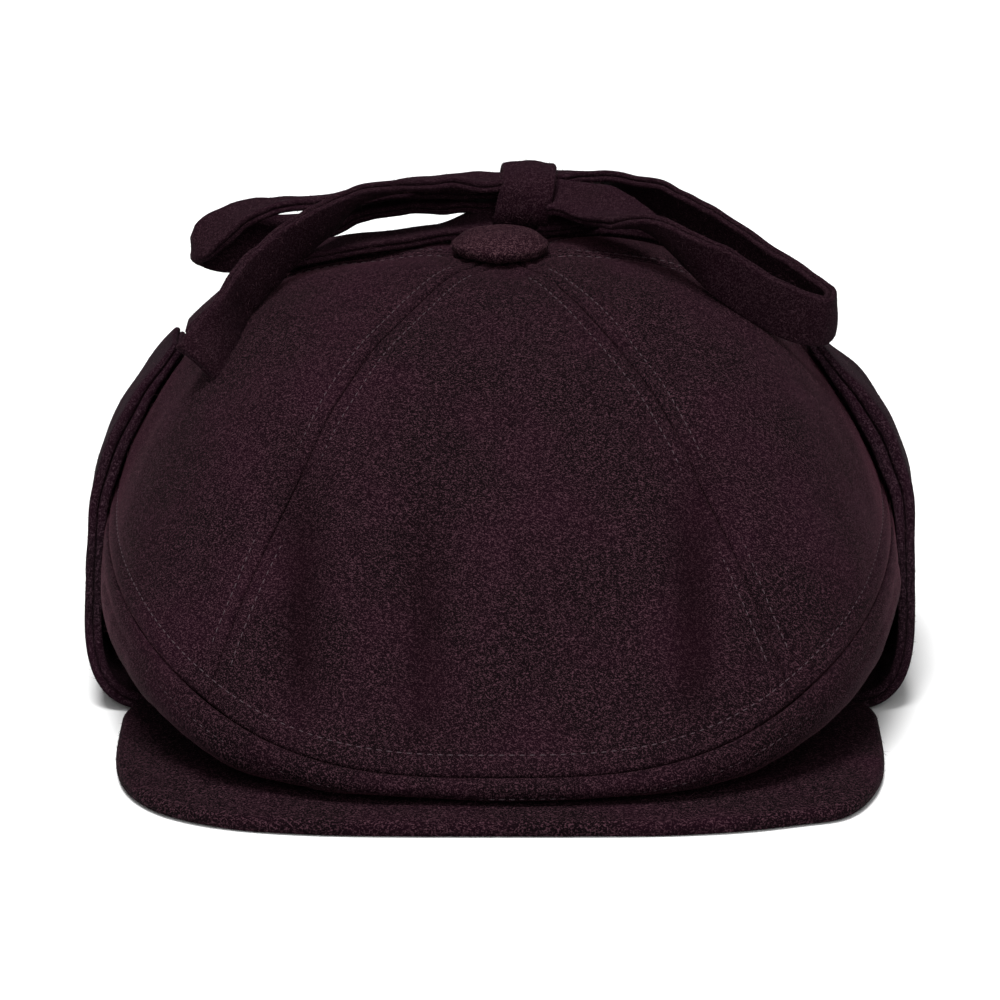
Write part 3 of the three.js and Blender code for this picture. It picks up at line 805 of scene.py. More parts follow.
# ---------- crown
@dataclass
class Crown:
    """Six panels, sewn together with twin topstitching and turned at the rim seam."""

    form: CapForm
    seams: tuple[float, ...] = (-32.0, 32.0, 95.0, 148.0, 212.0, 265.0)  # in degrees
    names: tuple[str, ...] = ("front", "front_right", "back_right", "back", "back_left",
                              "front_left")
    eye: float = 6.0  # radius left open under the button
    pull: float = 1.5  # how deep the button pulls the cloth in
    valley: float = 1.2  # depth of the hollow along a seam
    valley_wide: float = 10.0
    rim_roll: float = 0.7  # how far the cloth rolls in at the rim seam
    dent: float = 1.4  # depth of the soft dents in the lower front
    dents: int = 7
    folds: tuple[tuple[float, float], ...] = ((-50.0, 2.6), (-18.5, 2.0), (49.0, 2.8))  # x, depth
    fold_wide: float = 5.5  # half the width of a fold
    fold_deep: float = 2.6  # fold depth at which the painted shade is full
    stitch_out: float = 3.7  # from a panel seam to its row of stitches
    rim_stitch: float = 5.9  # from the rim seam to its row of stitches
    stitch_pull: float = 0.38  # how far a row of stitches pulls the cloth in
    stitch_wide: float = 0.9
    allowance: float = 0.24  # swelling over the seam's turned edges
    allowance_wide: float = 0.32  # in shares of the distance from seam to stitches
    across: float = 105.0  # measures by which a panel is divided
    along: float = 165.0
    step: float = 1.75  # distance between mesh points
    apart: float = 0.04  # gap on each side of a seam
    row_share: tuple[float, float] = (0.135, 0.955)  # from where to where a seam is sewn
    soft: Waves = ((0.42, 38.0, 3), (0.16, 15.0, 4))
    front_fibres: int = 13000
    other_fibres: int = 8500  # on each other panel
    cloth: Melton = Melton("wool_melton_crown", sheen=0.08)

    def slope(self, angle: Array) -> Array:
        """Length of the crown's slope for a share of 1, measured at the rim."""
        drop = (self.form.top - self.form.rim_height(angle)) * self.form.fall_power(angle)
        return np.hypot(self.form.rim_reach(angle), drop)

    def sink(self, angle: Array, share: Array) -> Array:
        """How far the cloth lies below the plain form, with seams, dents and stitching."""
        reach = share * self.form.rim_reach(angle)
        turn = np.stack([np.abs((angle - math.radians(s) + math.pi) % (2.0 * math.pi) - math.pi)
                         for s in self.seams]).min(axis=0)
        seam = reach * turn
        rim = (1.0 - share) * self.slope(angle)
        total = self.valley * np.exp(-seam / self.valley_wide) * smooth(0.08, 0.3, share)
        total = total + self.pull * (1.0 - smooth(0.07, 0.2, share))
        total = total + self.rim_roll * smooth(0.93, 1.0, share)
        wave = 0.5 - 0.5 * np.cos(2.0 * self.dents * angle)
        low = smooth(0.45, 0.8, share) * (1.0 - smooth(0.85, 1.0, share))
        total = total + self.dent * wave * low * smooth(0.6, 0.9, np.cos(angle))
        total = total + self.folded(reach * np.sin(angle), angle, share)
        for distance, out in ((seam, self.stitch_out), (rim, self.rim_stitch)):
            total = total + self.stitch_pull * bell(distance, out, self.stitch_wide)
            total = total - self.allowance * bell(distance, 0.5 * out, self.allowance_wide * out)
        return total

    def folded(self, x: Array, angle: Array, share: Array) -> Array:
        """Depth of the upright folds in the lower front, in mm."""
        lower = smooth(0.6, 0.8, share) * (1.0 - smooth(0.88, 1.0, share)) * (np.cos(angle) > 0.0)
        return lower * sum(depth * bell(x, middle, self.fold_wide) for middle, depth in self.folds)

    def fold_shade(self, vertices: Array) -> Array:
        """Strength of the painted shade along the folds at points of the cloth, from 0 to 1."""
        x, y = vertices[:, 0], vertices[:, 1]
        angle = np.arctan2(x, -y)
        share = np.hypot(x, y) / self.form.rim_reach(angle)
        return np.clip(self.folded(x, angle, share) / self.fold_deep, 0.0, 1.0)

    def face(self, angle: Array, share: Array, depth: float = 0.0) -> Array:
        """The crown's face, or a surface at a depth under it."""
        plain = self.form.crown(angle, share, depth + self.sink(angle, share))
        soft = uneven(plain, self.soft) * smooth(0.05, 0.3, share)
        soft = soft * (1.0 - smooth(0.93, 1.0, share))
        return plain + unit(plain - INSIDE) * soft[..., None]

    def panel(self, start: float, end: float) -> Body:
        """One wedge of the crown as a ply with turned edges."""
        form = self.form
        low, high = math.radians(start), math.radians(end)
        wide = math.radians(end - start)
        across = shares(wide * self.across, self.step, 0.5 * form.melton)
        down = shares(self.along, self.step, 0.5 * form.melton)
        eased = mix(np.sin(0.5 * math.pi * down) ** 0.9, down, 0.45)  # closer at the rim
        angle = low + wide * across[:, None]
        share = mix(self.eye / form.rim_reach(angle), 1.0, eased[None, :])
        inset = self.apart / (share * form.rim_reach(angle))
        middle = self.face(np.clip(angle, low + inset, high - inset), share, 0.5 * form.melton)
        return edged_ply(middle, form.melton)

    def seam_rows(self) -> list[Body]:
        """Twin rows of stitches beside each panel seam, and one row above the rim seam."""
        rows = []
        share = np.linspace(*self.row_share, 420)
        for seam in self.seams:
            for way in (-1.0, 1.0):
                angle = math.radians(seam) + way * self.stitch_out / (
                    share * self.form.rim_reach(np.full_like(share, math.radians(seam))))
                rows.append(self.row(angle, share))
        angle = np.linspace(-math.pi, math.pi, 1400)
        rows.append(self.row(angle, 1.0 - self.rim_stitch / self.slope(angle)))
        return rows

    def row(self, angle: Array, share: Array) -> Body:
        """One row of stitches along a line of the crown's face."""
        step = 1e-3
        line = self.face(angle, share)
        aside = self.face(angle + step, share) - self.face(angle - step, share)
        down = self.face(angle, share + step) - self.face(angle, share - step)
        normal = np.cross(aside, down)
        outward = np.sign(np.sum(normal * (line - INSIDE), axis=-1, keepdims=True))
        return Stitch().row(line, unit(normal) * outward)

    def build(self, shop: Workshop) -> None:
        """Makes the panels, their nap and their stitches."""
        edges = [*self.seams, self.seams[0] + 360.0]
        for number, name in enumerate(self.names):
            body = self.panel(edges[number], edges[number + 1])
            count = self.front_fibres if name == "front" else self.other_fibres
            sown = Nap(count, Pile.PRESSED, 20 + number, outside)
            shop.clothed(f"crown_panel_{name}", body, self.cloth, sown,
                         self.fold_shade(body.vertices))
        shop.piece("crown_topstitching", join(self.seam_rows()), SewingThread())


# ---------- lower wall
@dataclass
class LowerWall:
    """The ring of cloth from the headband out over the peak and up to the rim seam."""

    form: CapForm
    clear: float = 0.5  # gap to the headband
    base_front: float = 8.2  # height of the lower edge, over the peak
    base_side: float = 7.4
    over_peak_to: float = 55.0  # degrees to which the wall has its front form
    side_from: float = 85.0
    reach: float = 0.65  # where the section's second corner is, from band to rim
    sag: float = 1.3
    climb: float = 0.09
    bulge_front: float = 8.0  # how far the cloth comes out past the rim seam
    bulge_side: float = 4.5
    tuck_most: float = 20.0  # from the rim seam down to the bulge, at most
    tuck_above: float = 1.2
    rim_roll: float = 0.7  # how far the cloth rolls in at the rim seam
    rim_stitch: float = 5.9  # from the rim seam to its row of stitches
    stitch_pull: float = 0.38  # how far the stitches pull the cloth in
    stitch_wide: float = 0.9
    allowance: float = 0.35  # swelling over the seam's turned edges
    allowance_wide: float = 0.32  # in shares of the distance from seam to stitches
    soft: Waves = ((0.4, 34.0, 8), (0.15, 12.0, 9))
    rounds: int = 400  # mesh points once round
    along: float = 60.0  # measure by which the section is divided
    step: float = 1.9
    row_points: tuple[int, int] = (1000, 160)  # round and up, to place the stitches
    sown: Nap = Nap(15000, Pile.PRESSED, 40, outside)
    cloth: Melton = Melton("wool_melton_crown", sheen=0.08)

    def section(self, angle: Array, depth: float, t: Array) -> Array:
        """Points of the wall's section at angles, as (reach, height) on the last axis."""
        form = self.form
        turn = np.abs((angle + math.pi) % (2.0 * math.pi) - math.pi)
        over = 1.0 - smooth(math.radians(self.over_peak_to), math.radians(self.side_from), turn)
        base = form.band_reach(angle, form.band_thick + self.clear)
        base_z = mix(self.base_side, self.base_front, over)
        rim = form.rim_reach(angle)
        rim_z = form.rim_height(angle) - 0.1
        tuck = np.minimum(self.tuck_most, rim_z - self.tuck_above)
        sunk = depth + self.rim_roll
        corners = (
            (base, base_z + depth),
            (mix(base, rim, self.reach) - 0.5 * depth,
             base_z - self.sag + self.climb * (rim_z - base_z) + depth),
            (rim + mix(self.bulge_side, self.bulge_front, over) - 1.2 * depth,
             rim_z - tuck + mix(0.4, 1.7, over) * depth),
            (rim - form.inward * sunk, rim_z - form.down * sunk),
        )
        weights = ((1 - t) ** 3, 3 * t * (1 - t) ** 2, 3 * t * t * (1 - t), t ** 3)
        return np.stack([sum(w * c[k] for w, c in zip(weights, corners)) for k in (0, 1)], axis=-1)

    def plain(self, angle: Array, t: Array, depth: float) -> Array:
        """Points of the wall at a depth, without its stitching."""
        flat = self.section(angle, depth, t)
        return polar(angle, flat[..., 0], flat[..., 1])

    @staticmethod
    def below_rim(points: Array) -> Array:
        """Distance of the wall's points from the rim seam, along the cloth."""
        steps = np.linalg.norm(np.diff(points, axis=1), axis=-1)
        return np.pad(np.cumsum(steps[:, ::-1], axis=1)[:, ::-1], [(0, 0), (0, 1)])

    def middle(self, angle: Array, t: Array, depth: float) -> Array:
        """Points of the wall at a depth, with its stitched channel and soft unevenness."""
        points = self.plain(angle, t, depth)
        run = self.below_rim(points)
        pull = self.stitch_pull * bell(run, self.rim_stitch, self.stitch_wide)
        swell = self.allowance * bell(run, 0.5 * self.rim_stitch,
                                      self.allowance_wide * self.rim_stitch)
        soft = uneven(points, self.soft) * smooth(0.0, 8.0, run) * smooth(0.1, 0.5, t)
        return points + grid_normals(points, True) * self.sign * (swell - pull + soft)[..., None]

    @property
    def sign(self) -> float:
        """1 if the grid's own normals point out of the cap, or -1."""
        points = self.plain(around(60), np.linspace(0.0, 1.0, 12)[None, :], 0.0)
        normals = grid_normals(points, True)[:, -2]
        away = np.sum(normals * (points[:, -2] * [1.0, 1.0, 0.0]), axis=-1)
        return float(np.sign(away.mean()))

    def build(self, shop: Workshop) -> None:
        """Makes the wall, its nap and its row of stitches."""
        melton = self.form.melton
        t = shares(self.along, self.step, 0.5 * melton)[None, :]
        body = edged_ply(self.middle(around(self.rounds), t, 0.5 * melton), melton, True)
        shop.clothed("crown_lower_wall", body, self.cloth, self.sown)
        shop.piece("lower_wall_topstitching", self.stitching(), SewingThread())

    def stitching(self) -> Body:
        """The row of stitches below the rim seam."""
        rounds, ups = self.row_points
        points = self.middle(around(rounds), np.linspace(0.0, 1.0, ups)[None, :], 0.0)
        normals = grid_normals(points, True) * self.sign
        column = np.argmin(np.abs(self.below_rim(points) - self.rim_stitch), axis=1)
        rows = np.arange(rounds)
        return Stitch().row(points[rows, column], normals[rows, column])


# ---------- headband
@dataclass
class Headband:
    """The upright ring of twill just inside the head opening."""

    form: CapForm
    bottom: float = 2.0
    top: float = 36.0
    rounds: int = 300  # mesh points once round
    step: float = 3.0
    stitch_up: float = 4.0  # from the lower edge to the row of stitches
    stitch_points: int = 900
    stitch_deep: float = 0.05  # how deep the row lies in the band's face

    def build(self, shop: Workshop) -> None:
        """Makes the band and the row of stitches near its lower edge."""
        form = self.form
        up = shares(self.top - self.bottom, self.step, 0.5 * form.band_thick)[None, :]
        angle = around(self.rounds)
        middle = polar(angle, form.band_reach(angle, 0.5 * form.band_thick),
                       mix(self.bottom, self.top, up))
        body = edged_ply(middle, form.band_thick, True)
        shop.piece("headband_twill", body, CottonTwill(), ["headband"])
        turn = np.linspace(-math.pi, math.pi, self.stitch_points)
        line = polar(turn, form.band_reach(turn) + self.stitch_deep, self.bottom + self.stitch_up)
        inward = -unit(line * [1.0, 1.0, 0.0])
        shop.piece("headband_stitching", Stitch().row(line, inward), SewingThread())


# ---------- peak
@dataclass
class Peak:
    """The stiff peak: two faces of melton over a board, seamed low on the edge."""

    form: CapForm
    half_wide: float = 99.0
    behind: float = -60.0  # Y of the widest line of the outline
    ahead: float = 90.5  # from that line to the front
    squareness: float = 3.9  # of the outline: 2 is an ellipse
    fuller: float = 4.5  # how much further out the right corner comes
    fuller_at: float = 88.0  # X of that corner
    fuller_wide: float = 9.0
    tip_back: float = 28.0  # how far the tips bend back behind that line
    tip_angle: float = 112.0
    tip_band_angle: float = 63.0  # where the tips meet the headband
    thick: float = 4.0
    slope: float = 0.07  # rise of the underside towards the cap
    clear: float = 0.6  # gap to the headband
    round_edge: float = 1.9
    seam: tuple[float, float, float] = (0.45, -0.62, 0.16)  # depth, angle and width of the groove
    across: int = 210  # sections from tip to tip
    gathered: float = 0.35  # how much closer they are at the tips
    out: int = 44  # mesh points along a face
    out_power: float = 1.6  # how much closer they are at the edge
    bend: int = 19  # mesh points round the edge
    soft: Waves = ((0.12, 22.0, 12),)
    sown: Nap = Nap(11000, Pile.PRESSED, 50, facing_above(-0.6))
    cloth: Melton = Melton("wool_melton_peak", fibre_mm=0.42)

    def edge(self, share: Array) -> tuple[Array, Array]:
        """Plan of the outline, as x and y, from the left tip to the right tip."""
        angle = math.radians(self.tip_angle) * (2.0 * share - 1.0)
        power = 2.0 / self.squareness
        x = np.sign(angle) * self.half_wide * np.abs(np.sin(angle)) ** power
        ahead = -self.ahead * np.abs(np.cos(angle)) ** power
        ahead = ahead - self.fuller * bell(x, self.fuller_at, self.fuller_wide)
        return x, self.behind + np.where(np.cos(angle) > 0.0, ahead, -self.tip_back * np.cos(angle))

    def under(self, x: Array, y: Array) -> Array:
        """Height of the underside."""
        aside = x / (self.half_wide + 0.5)
        return self.slope * (y - self.behind + self.ahead) * (1.0 - aside ** 2)

    def points(self) -> Array:
        """Sections from tip to tip: each runs out on top, round the edge and back below."""
        share = np.linspace(0.0, 1.0, self.across)
        share = mix(share, 0.5 - 0.5 * np.cos(math.pi * share), self.gathered)[:, None]
        turn = math.radians(self.tip_band_angle) * (2.0 * share - 1.0)
        inner = polar(turn, self.form.band_reach(turn, self.form.band_thick + self.clear), 0.0)
        edge_x, edge_y = self.edge(share)
        reach = np.hypot(edge_x - inner[..., 0], edge_y - inner[..., 1])
        side, radius = 0.5 * self.thick, self.round_edge
        flat = 1.0 - (1.0 - np.linspace(0.0, 1.0, self.out)) ** self.out_power
        bend = np.linspace(0.5 * math.pi, -0.5 * math.pi, self.bend)[1:-1]
        seam = self.seam[0] * bell(bend, *self.seam[1:])
        path_out = np.concatenate([flat * 0.0, np.cos(bend) * radius - seam * np.cos(bend),
                                   flat * 0.0])
        path_up = np.concatenate([np.full(self.out, side), np.sin(bend) * (side - seam),
                                  np.full(self.out, -side)])
        along = np.concatenate([flat, np.ones(len(bend)), flat[::-1]])
        share_out = along[None, :] * (1.0 - radius / reach) + path_out[None, :] / reach
        x = mix(inner[..., 0], edge_x, share_out)
        y = mix(inner[..., 1], edge_y, share_out)
        points = np.stack([x, y, self.under(x, y) + side + path_up[None, :]], axis=-1)
        soft = uneven(points, self.soft) * smooth(0.0, 0.3, along)[None, :]
        points[..., 2] += soft * (path_up[None, :] > -0.9 * side)
        points[..., 2] = np.maximum(points[..., 2], 0.0)
        return points

    def build(self, shop: Workshop) -> None:
        """Makes the covered peak and its nap."""
        shop.clothed("peak", self.closed(self.points()), self.cloth, self.sown)

    @staticmethod
    def closed(points: Array) -> Body:
        """Closes a loop of sections along its length and at both tips."""
        number = numbered(*points.shape[:2])
        faces = quads(np.concatenate([number, number[:, :1]], axis=1))
        half = points.shape[1] // 2
        tips = []
        for row, way in ((number[0], 1), (number[-1], -1)):
            left, right = row[:half], row[::-1][:half]
            strip = np.stack([left[:-1], left[1:], right[1:], right[:-1]], axis=-1)
            tips.append(strip[:, ::way])
        return Body(points.reshape(-1, 3), [faces[:, ::-1], *tips])


# ---------- top button
@dataclass
class TopButton:
    """The flat button at the crown's centre, covered with cloth gathered under it."""

    under: float = 114.3  # height of its underside
    top: float = 121.5
    pleats: int = 15
    pleat_deep: float = 0.28
    rounds: int = 120  # mesh points once round
    line_points: int = 72  # mesh points from the middle of the top to that below
    soft: Waves = ((0.16, 9.0, 14),)
    sown: Nap = Nap(3000, Pile.PRESSED, 60, facing_above(-0.4))
    # paler than the crown's cloth: painted light, for the button's lit top
    cloth: Melton = Melton("wool_melton_button", ground="14060c", fibre="463035")

    def build(self, shop: Workshop) -> None:
        """Makes the covered button and its nap."""
        knots = np.array([(0.0, self.top), (5.5, self.top - 0.35), (9.6, self.top - 1.5),
                          (12.0, self.top - 3.3), (13.0, self.under + 2.9),
                          (12.7, self.under + 1.0), (11.2, self.under), (6.0, self.under + 0.1),
                          (0.0, self.under + 0.1)])
        line = catmull_rom(knots, self.line_points)
        reach, height = np.maximum(line[:, 0], 0.0), line[:, 1]
        angle = around(self.rounds)
        low = smooth(self.top - 4.5, self.under + 0.6, height)[None, :]
        pleats = np.abs(np.sin(0.5 * self.pleats * angle))
        gather = self.pleat_deep * low * pleats * smooth(4.0, 10.0, reach)[None, :]
        points = polar(angle, reach[None, :] - gather, height[None, :])
        points[..., 2] += uneven(points, self.soft) * smooth(0.0, 4.0, reach)
        number = numbered(*points.shape[:2])
        for pole in (0, -1):
            points[:, pole] = points[:, pole].mean(axis=0)
            number[:, pole] = number[0, pole]
        body = tidy(Body(points.reshape(-1, 3), [quads(number, True)]))
        shop.clothed("top_button", body, self.cloth, self.sown)


def tidy(body: Body) -> Body:
    """The same body without the corners that a face repeats and the vertices that no face uses."""
    faces = [[corner for k, corner in enumerate(face) if corner != face[k - 1]]
             for block in body.faces for face in block.tolist()]
    faces = [face for face in faces if len(face) > 2]
    used = sorted({corner for face in faces for corner in face})
    new = {old: number for number, old in enumerate(used)}
    blocks = [np.array([[new[c] for c in face] for face in faces if len(face) == size])
              for size in sorted({len(face) for face in faces})]
    return Body(body.vertices[used], blocks)


# ---------- ear and neck flap
@dataclass
class EarFlap:
    """The folded-up flap: two plies that turn up from the band and lie against the crown."""

    form: CapForm
    thick: float = 4.6  # both plies together, low down
    clear: float = 0.9  # gap to the crown
    tip_height: float = 88.0
    neck_height: float = 57.0
    thick_upper: float = 7.6  # its fuller upper part, on the right
    thick_upper_left: float = 6.2
    thicken_from: float = 36.0  # heights between which it gets thicker
    thicken_to: float = 64.0
    thick_tip: float = 3.6
    thin_from: float = 66.0  # heights between which it thins out to the tips
    thin_to: float = 88.0
    front_low: float = 65.0  # direction of the front edge at the foot, in degrees
    front_high: float = 88.0
    front_climb: float = 0.8
    tip_share: float = 0.88  # where the upper edge reaches the tip
    slope_share: float = 0.5  # where it starts to rise
    turn: tuple[tuple[float, float], ...] = (  # height, and share from band to crown
        (0.0, 0.10), (0.0, 0.42), (0.0, 0.56), (2.2, 0.82), (8.5, 0.97), (18.0, 1.0))
    turn_share: float = 0.45  # share of the mesh, from the foot, that turns up from the band
    turn_points: int = 200
    along: float = 520.0  # measures by which the mesh is divided
    up: float = 150.0
    step_along: float = 2.5
    step_up: float = 2.4
    passes: int = 14  # of evening out the turn
    margin: int = 8  # rows along each edge that stay as they are
    soft: Waves = ((0.45, 42.0, 21), (0.2, 16.0, 22))
    sown: Nap = Nap(22000, Pile.BRUSHED, 70, standing_above(1.5))
    # darker fibres than the crown's cloth: painted shade on the flap
    cloth: Melton = Melton("wool_melton_flap", ground="0a0306", fibre="33232a")

    def guide(self, u: Array, v: Array) -> Array:
        """Guide surface: u from the right front edge round the back to the left one, v upwards."""
        form = self.form
        aside = 1.0 - 2.0 * u
        side = np.abs(aside)
        rise = smooth(self.slope_share, self.tip_share, side)
        top_height = mix(self.neck_height, self.tip_height, rise * rise)
        floor = self.thick + self.clear
        rows = catmull_rom(np.array(self.turn), self.turn_points)
        number = np.arange(self.turn_points)
        place = np.clip(v / self.turn_share, 0.0, 1.0) * number[-1]
        turn_height = np.interp(place, number, np.maximum(rows[:, 0], 0.0))
        turn_out = np.interp(place, number, np.minimum(rows[:, 1], 1.0))
        above = np.clip((v - self.turn_share) / (1.0 - self.turn_share), 0.0, 1.0)
        height = floor + turn_height + above * (top_height - floor - self.turn[-1][0])
        climb = np.clip((height - floor) / (self.tip_height - floor), 0.0, 1.0)
        front = np.radians(mix(self.front_low, self.front_high, climb ** self.front_climb))
        angle = np.where(aside >= 0.0, 1.0, -1.0) * (math.pi - side * (math.pi - front))
        band = form.band_reach(angle, form.band_thick)
        return polar(angle, mix(band, form.side_reach(angle, height), turn_out), height)

    def thickness(self, x: Array, height: Array) -> Array:
        """Thickness of both plies: full at the ears, thin at the tips, a little less left."""
        upper = mix(self.thick_upper_left, self.thick_upper, smooth(-20.0, 20.0, x))
        fuller = mix(self.thick, upper, smooth(self.thicken_from, self.thicken_to, height))
        return mix(fuller, self.thick_tip, smooth(self.thin_from, self.thin_to, height))

    def surface(self) -> tuple[Array, Array]:
        """Middle surface between the two plies, and the thickness of both together."""
        u = shares(self.along, self.step_along, 0.25 * self.thick)[:, None]
        v = shares(self.up, self.step_up, 0.25 * self.thick)[None, :]
        points = self.guide(u + 0.0 * v, v + 0.0 * u)
        kept = self.margin
        for _ in range(self.passes):
            below, above = points[:, kept - 1:-kept - 1], points[:, kept + 1:-kept + 1]
            points[:, kept:-kept] = 0.25 * below + 0.5 * points[:, kept:-kept] + 0.25 * above
        lifted = smooth(0.3, 0.6, v)
        soft = sum(uneven(points, (wave,)) * lifted for wave in self.soft)
        thick = self.thickness(points[..., 0], points[..., 2])
        out = self.clear + 0.5 * thick + soft
        return points + grid_normals(points) * out[..., None], thick

    def build(self, shop: Workshop) -> None:
        """Makes the flap and its nap."""
        body = two_plies(*self.surface())
        body.vertices[:, 2] = np.maximum(body.vertices[:, 2], 0.0)
        shop.clothed("ear_neck_flap", body, self.cloth, self.sown)


# ---------- ties and bow
@dataclass(frozen=True)
class TieRun:
    """How one tie runs over the crown. Shares are of its length, from the flap's tip."""

    rise: float  # how far it lifts off the crown at the knot, in mm
    rise_from: float  # share at which it starts to lift
    back_from: float  # share at which it starts to go back towards the knot
    swing: float  # how far it bows backwards on its way, in mm
    tip_share: float  # where it starts, on the flap's upper edge


@dataclass
class Bow:
    """The ties that come up from the flap's tips, and the bow that they make behind the button."""

    form: CapForm
    flap: EarFlap
    wide: float = 14.0
    thick: float = 3.2  # both plies together
    arch: float = 0.35  # how much a strap's middle stands above its edges
    knot_x: float = 6.4
    knot_y: float = 24.2
    knot_z: float = 124.9
    knot_wide: float = 14.5
    knot_deep: float = 24.0
    knot_tall: float = 16.8
    knot_arch: float = 0.7
    knot_lean: float = 0.24  # how far it leans sideways for each mm of height
    knot_power: float = 2.0 / 3.0  # of its round: 1 is an ellipse, less is squarer
    knot_rounds: int = 120  # mesh points once round
    bend_round: float = 11.0  # length over which the left loop's end is pinched
    bend_pinch: float = 0.42
    into_knot: float = 3.0  # how far the straps run on inside the knot
    hem_at: float = 9.0  # from a free end to the groove of its hem
    hem_wide: float = 0.8
    hem_groove: float = 0.34  # in shares of the thickness
    hem_fuller: float = 0.22
    ties: dict[Side, TieRun] = field(default_factory=lambda: {
        Side.LEFT: TieRun(5.5, 0.78, 0.5, 0.0, 0.03),
        Side.RIGHT: TieRun(7.0, 0.42, 0.0, 18.0, 0.065)})
    tie_front_rise: float = 0.06  # share of the rise that a tie's front edge takes
    tie_clear: float = 0.3
    tie_lift: float = 0.4  # how far a tie stands off the crown at the flap's tip
    tie_behind: float = 3.4  # from the knot's middle forward to where the ties end
    tie_foot: float = 1.5  # from the knot's middle to the left, where the ties end
    tip_in: float = 2.2
    tie_along: float = 100.0  # measure by which a tie's length is divided
    step_along: float = 1.6
    step_across: float = 1.3
    curve_points: int = 900
    soft: Waves = ((0.3, 17.0, 31), (0.12, 7.0, 32))
    tie_soft: Waves = ((0.25, 19.0, 33),)
    knot_soft: Waves = ((0.35, 13.0, 35), (0.12, 6.0, 36))
    fibres: int = 3600  # on a long piece
    fewer_fibres: dict[str, int] = field(default_factory=lambda: {
        "bow_knot": 2000, "bow_right_tail": 1300})
    routes: dict[str, tuple[Row, ...]] = field(default_factory=lambda: {
        "bow_left_loop": (
            (-2.5, 28.5, 125.7, 2), (-10.5, 28.5, 125.8, 3), (-19, 28.5, 125.8, 4),
            (-28.5, 28.5, 125.5, 6), (-40, 28, 123.8, 8), (-51.5, 27, 122.4, 8),
            (-62, 25.5, 122, 1), (-70.5, 24, 119.8, -14), (-77.5, 22.5, 115.2, -42),
            (-81.3, 23, 111.4, -68), (-82.6, 26.5, 109.9, -84), (-81, 30.5, 109, -88),
            (-75, 32, 109, -84), (-67, 32, 110.2, -66), (-57.5, 33, 112.2, -34),
            (-48, 33, 115.0, -18), (-39.5, 32.5, 118.0, -6), (-28.5, 31, 120.9, -1),
            (-16.5, 29.5, 121.4, 1), (-3.5, 28.5, 121.4, 4)),
        "bow_left_tail": (
            (-2, 20, 129.7, 3), (-10, 18.5, 130.1, 4), (-19, 15.5, 130.5, 6), (-26, 12, 130.5, 9),
            (-33, 7.5, 129.9, 15), (-40, 3, 128, 27), (-46.5, -2, 124.7, 45), (-53, -7, 120.6, 62),
            (-61, -15, 115.4, 82), (-67.5, -24.5, 109.9, 95), (-73, -35, 101.9, 106),
            (-79.3, -42.4, 94.2, 113)),
        "bow_right_loop": (
            (15, 31, 128.2, 8), (22, 31, 128.2, 13), (30, 30.5, 127.7, 22), (38, 29, 125.6, 32),
            (46.5, 26, 122.5, 41), (54.5, 21.5, 118.6, 52), (63.5, 16, 113.4, 60),
            (72, 9.5, 108.5, 63), (80, 2, 104.7, 64), (85.5, -5, 102.2, 66), (87.5, -12, 100.8, 68),
            (85.5, -18, 100, 73), (76.5, -21.5, 103, 78), (65.5, -22, 109.4, 78),
            (56.5, -20.5, 115.5, 70), (48.5, -16.5, 120, 45), (41.5, -9, 122.5, 18),
            (35, -0.5, 123.9, -8), (28, 9, 124.9, -20), (21.5, 15.5, 125.3, -24),
            (15.5, 17.5, 126.0, -25)),
        "bow_right_tail": (
            (15, 28.5, 117.4, -38), (22, 29.5, 117.8, -38), (32, 31, 117.7, -40),
            (43, 34, 115.4, -40), (54, 38, 111.6, -34)),
    })
    # darker fibres than the crown's cloth: painted shade on the ties and the bow
    cloth: Melton = Melton("wool_melton_tie", ground="11050a", fibre="2d1d23", fibre_mm=0.28,
                           lit_from=0.59)

    def route(self, rows: Sequence[Row], hemmed: bool) -> Array:
        """The rows of a strap, run on into the knot at the ends that meet it."""
        table = np.array(rows, dtype=float)
        into = self.into_knot * np.sign(self.knot_x - table[0, 0]) * np.array([1.0, 0.0, 0.0, 0.0])
        ends = [table[:1] + into, table] + ([] if hemmed else [table[-1:] + into])
        return np.concatenate(ends)

    def bend_width(self, centre: Array) -> Array:
        """Share of a strap's width that is left where a loop turns back, pinched into a round."""
        away = np.abs(centre[:, 0] - self.knot_x)
        short = np.clip((away.max() - away) / self.bend_round, 0.0, 1.0)
        return mix(self.bend_pinch, 1.0, np.sqrt(np.clip(1.0 - (1.0 - short) ** 2, 0.0, 1.0)))

    def across(self, wide: float) -> Array:
        """Places of the mesh points across a strap, from 0 to 1."""
        return shares(wide, self.step_across, 0.25 * self.thick)

    @staticmethod
    def arched(v: Array, wide: float) -> Array:
        """1 along a strap's middle and 0 at its edges."""
        return (1.0 - (2.0 * v / wide) ** 2)[None, :]

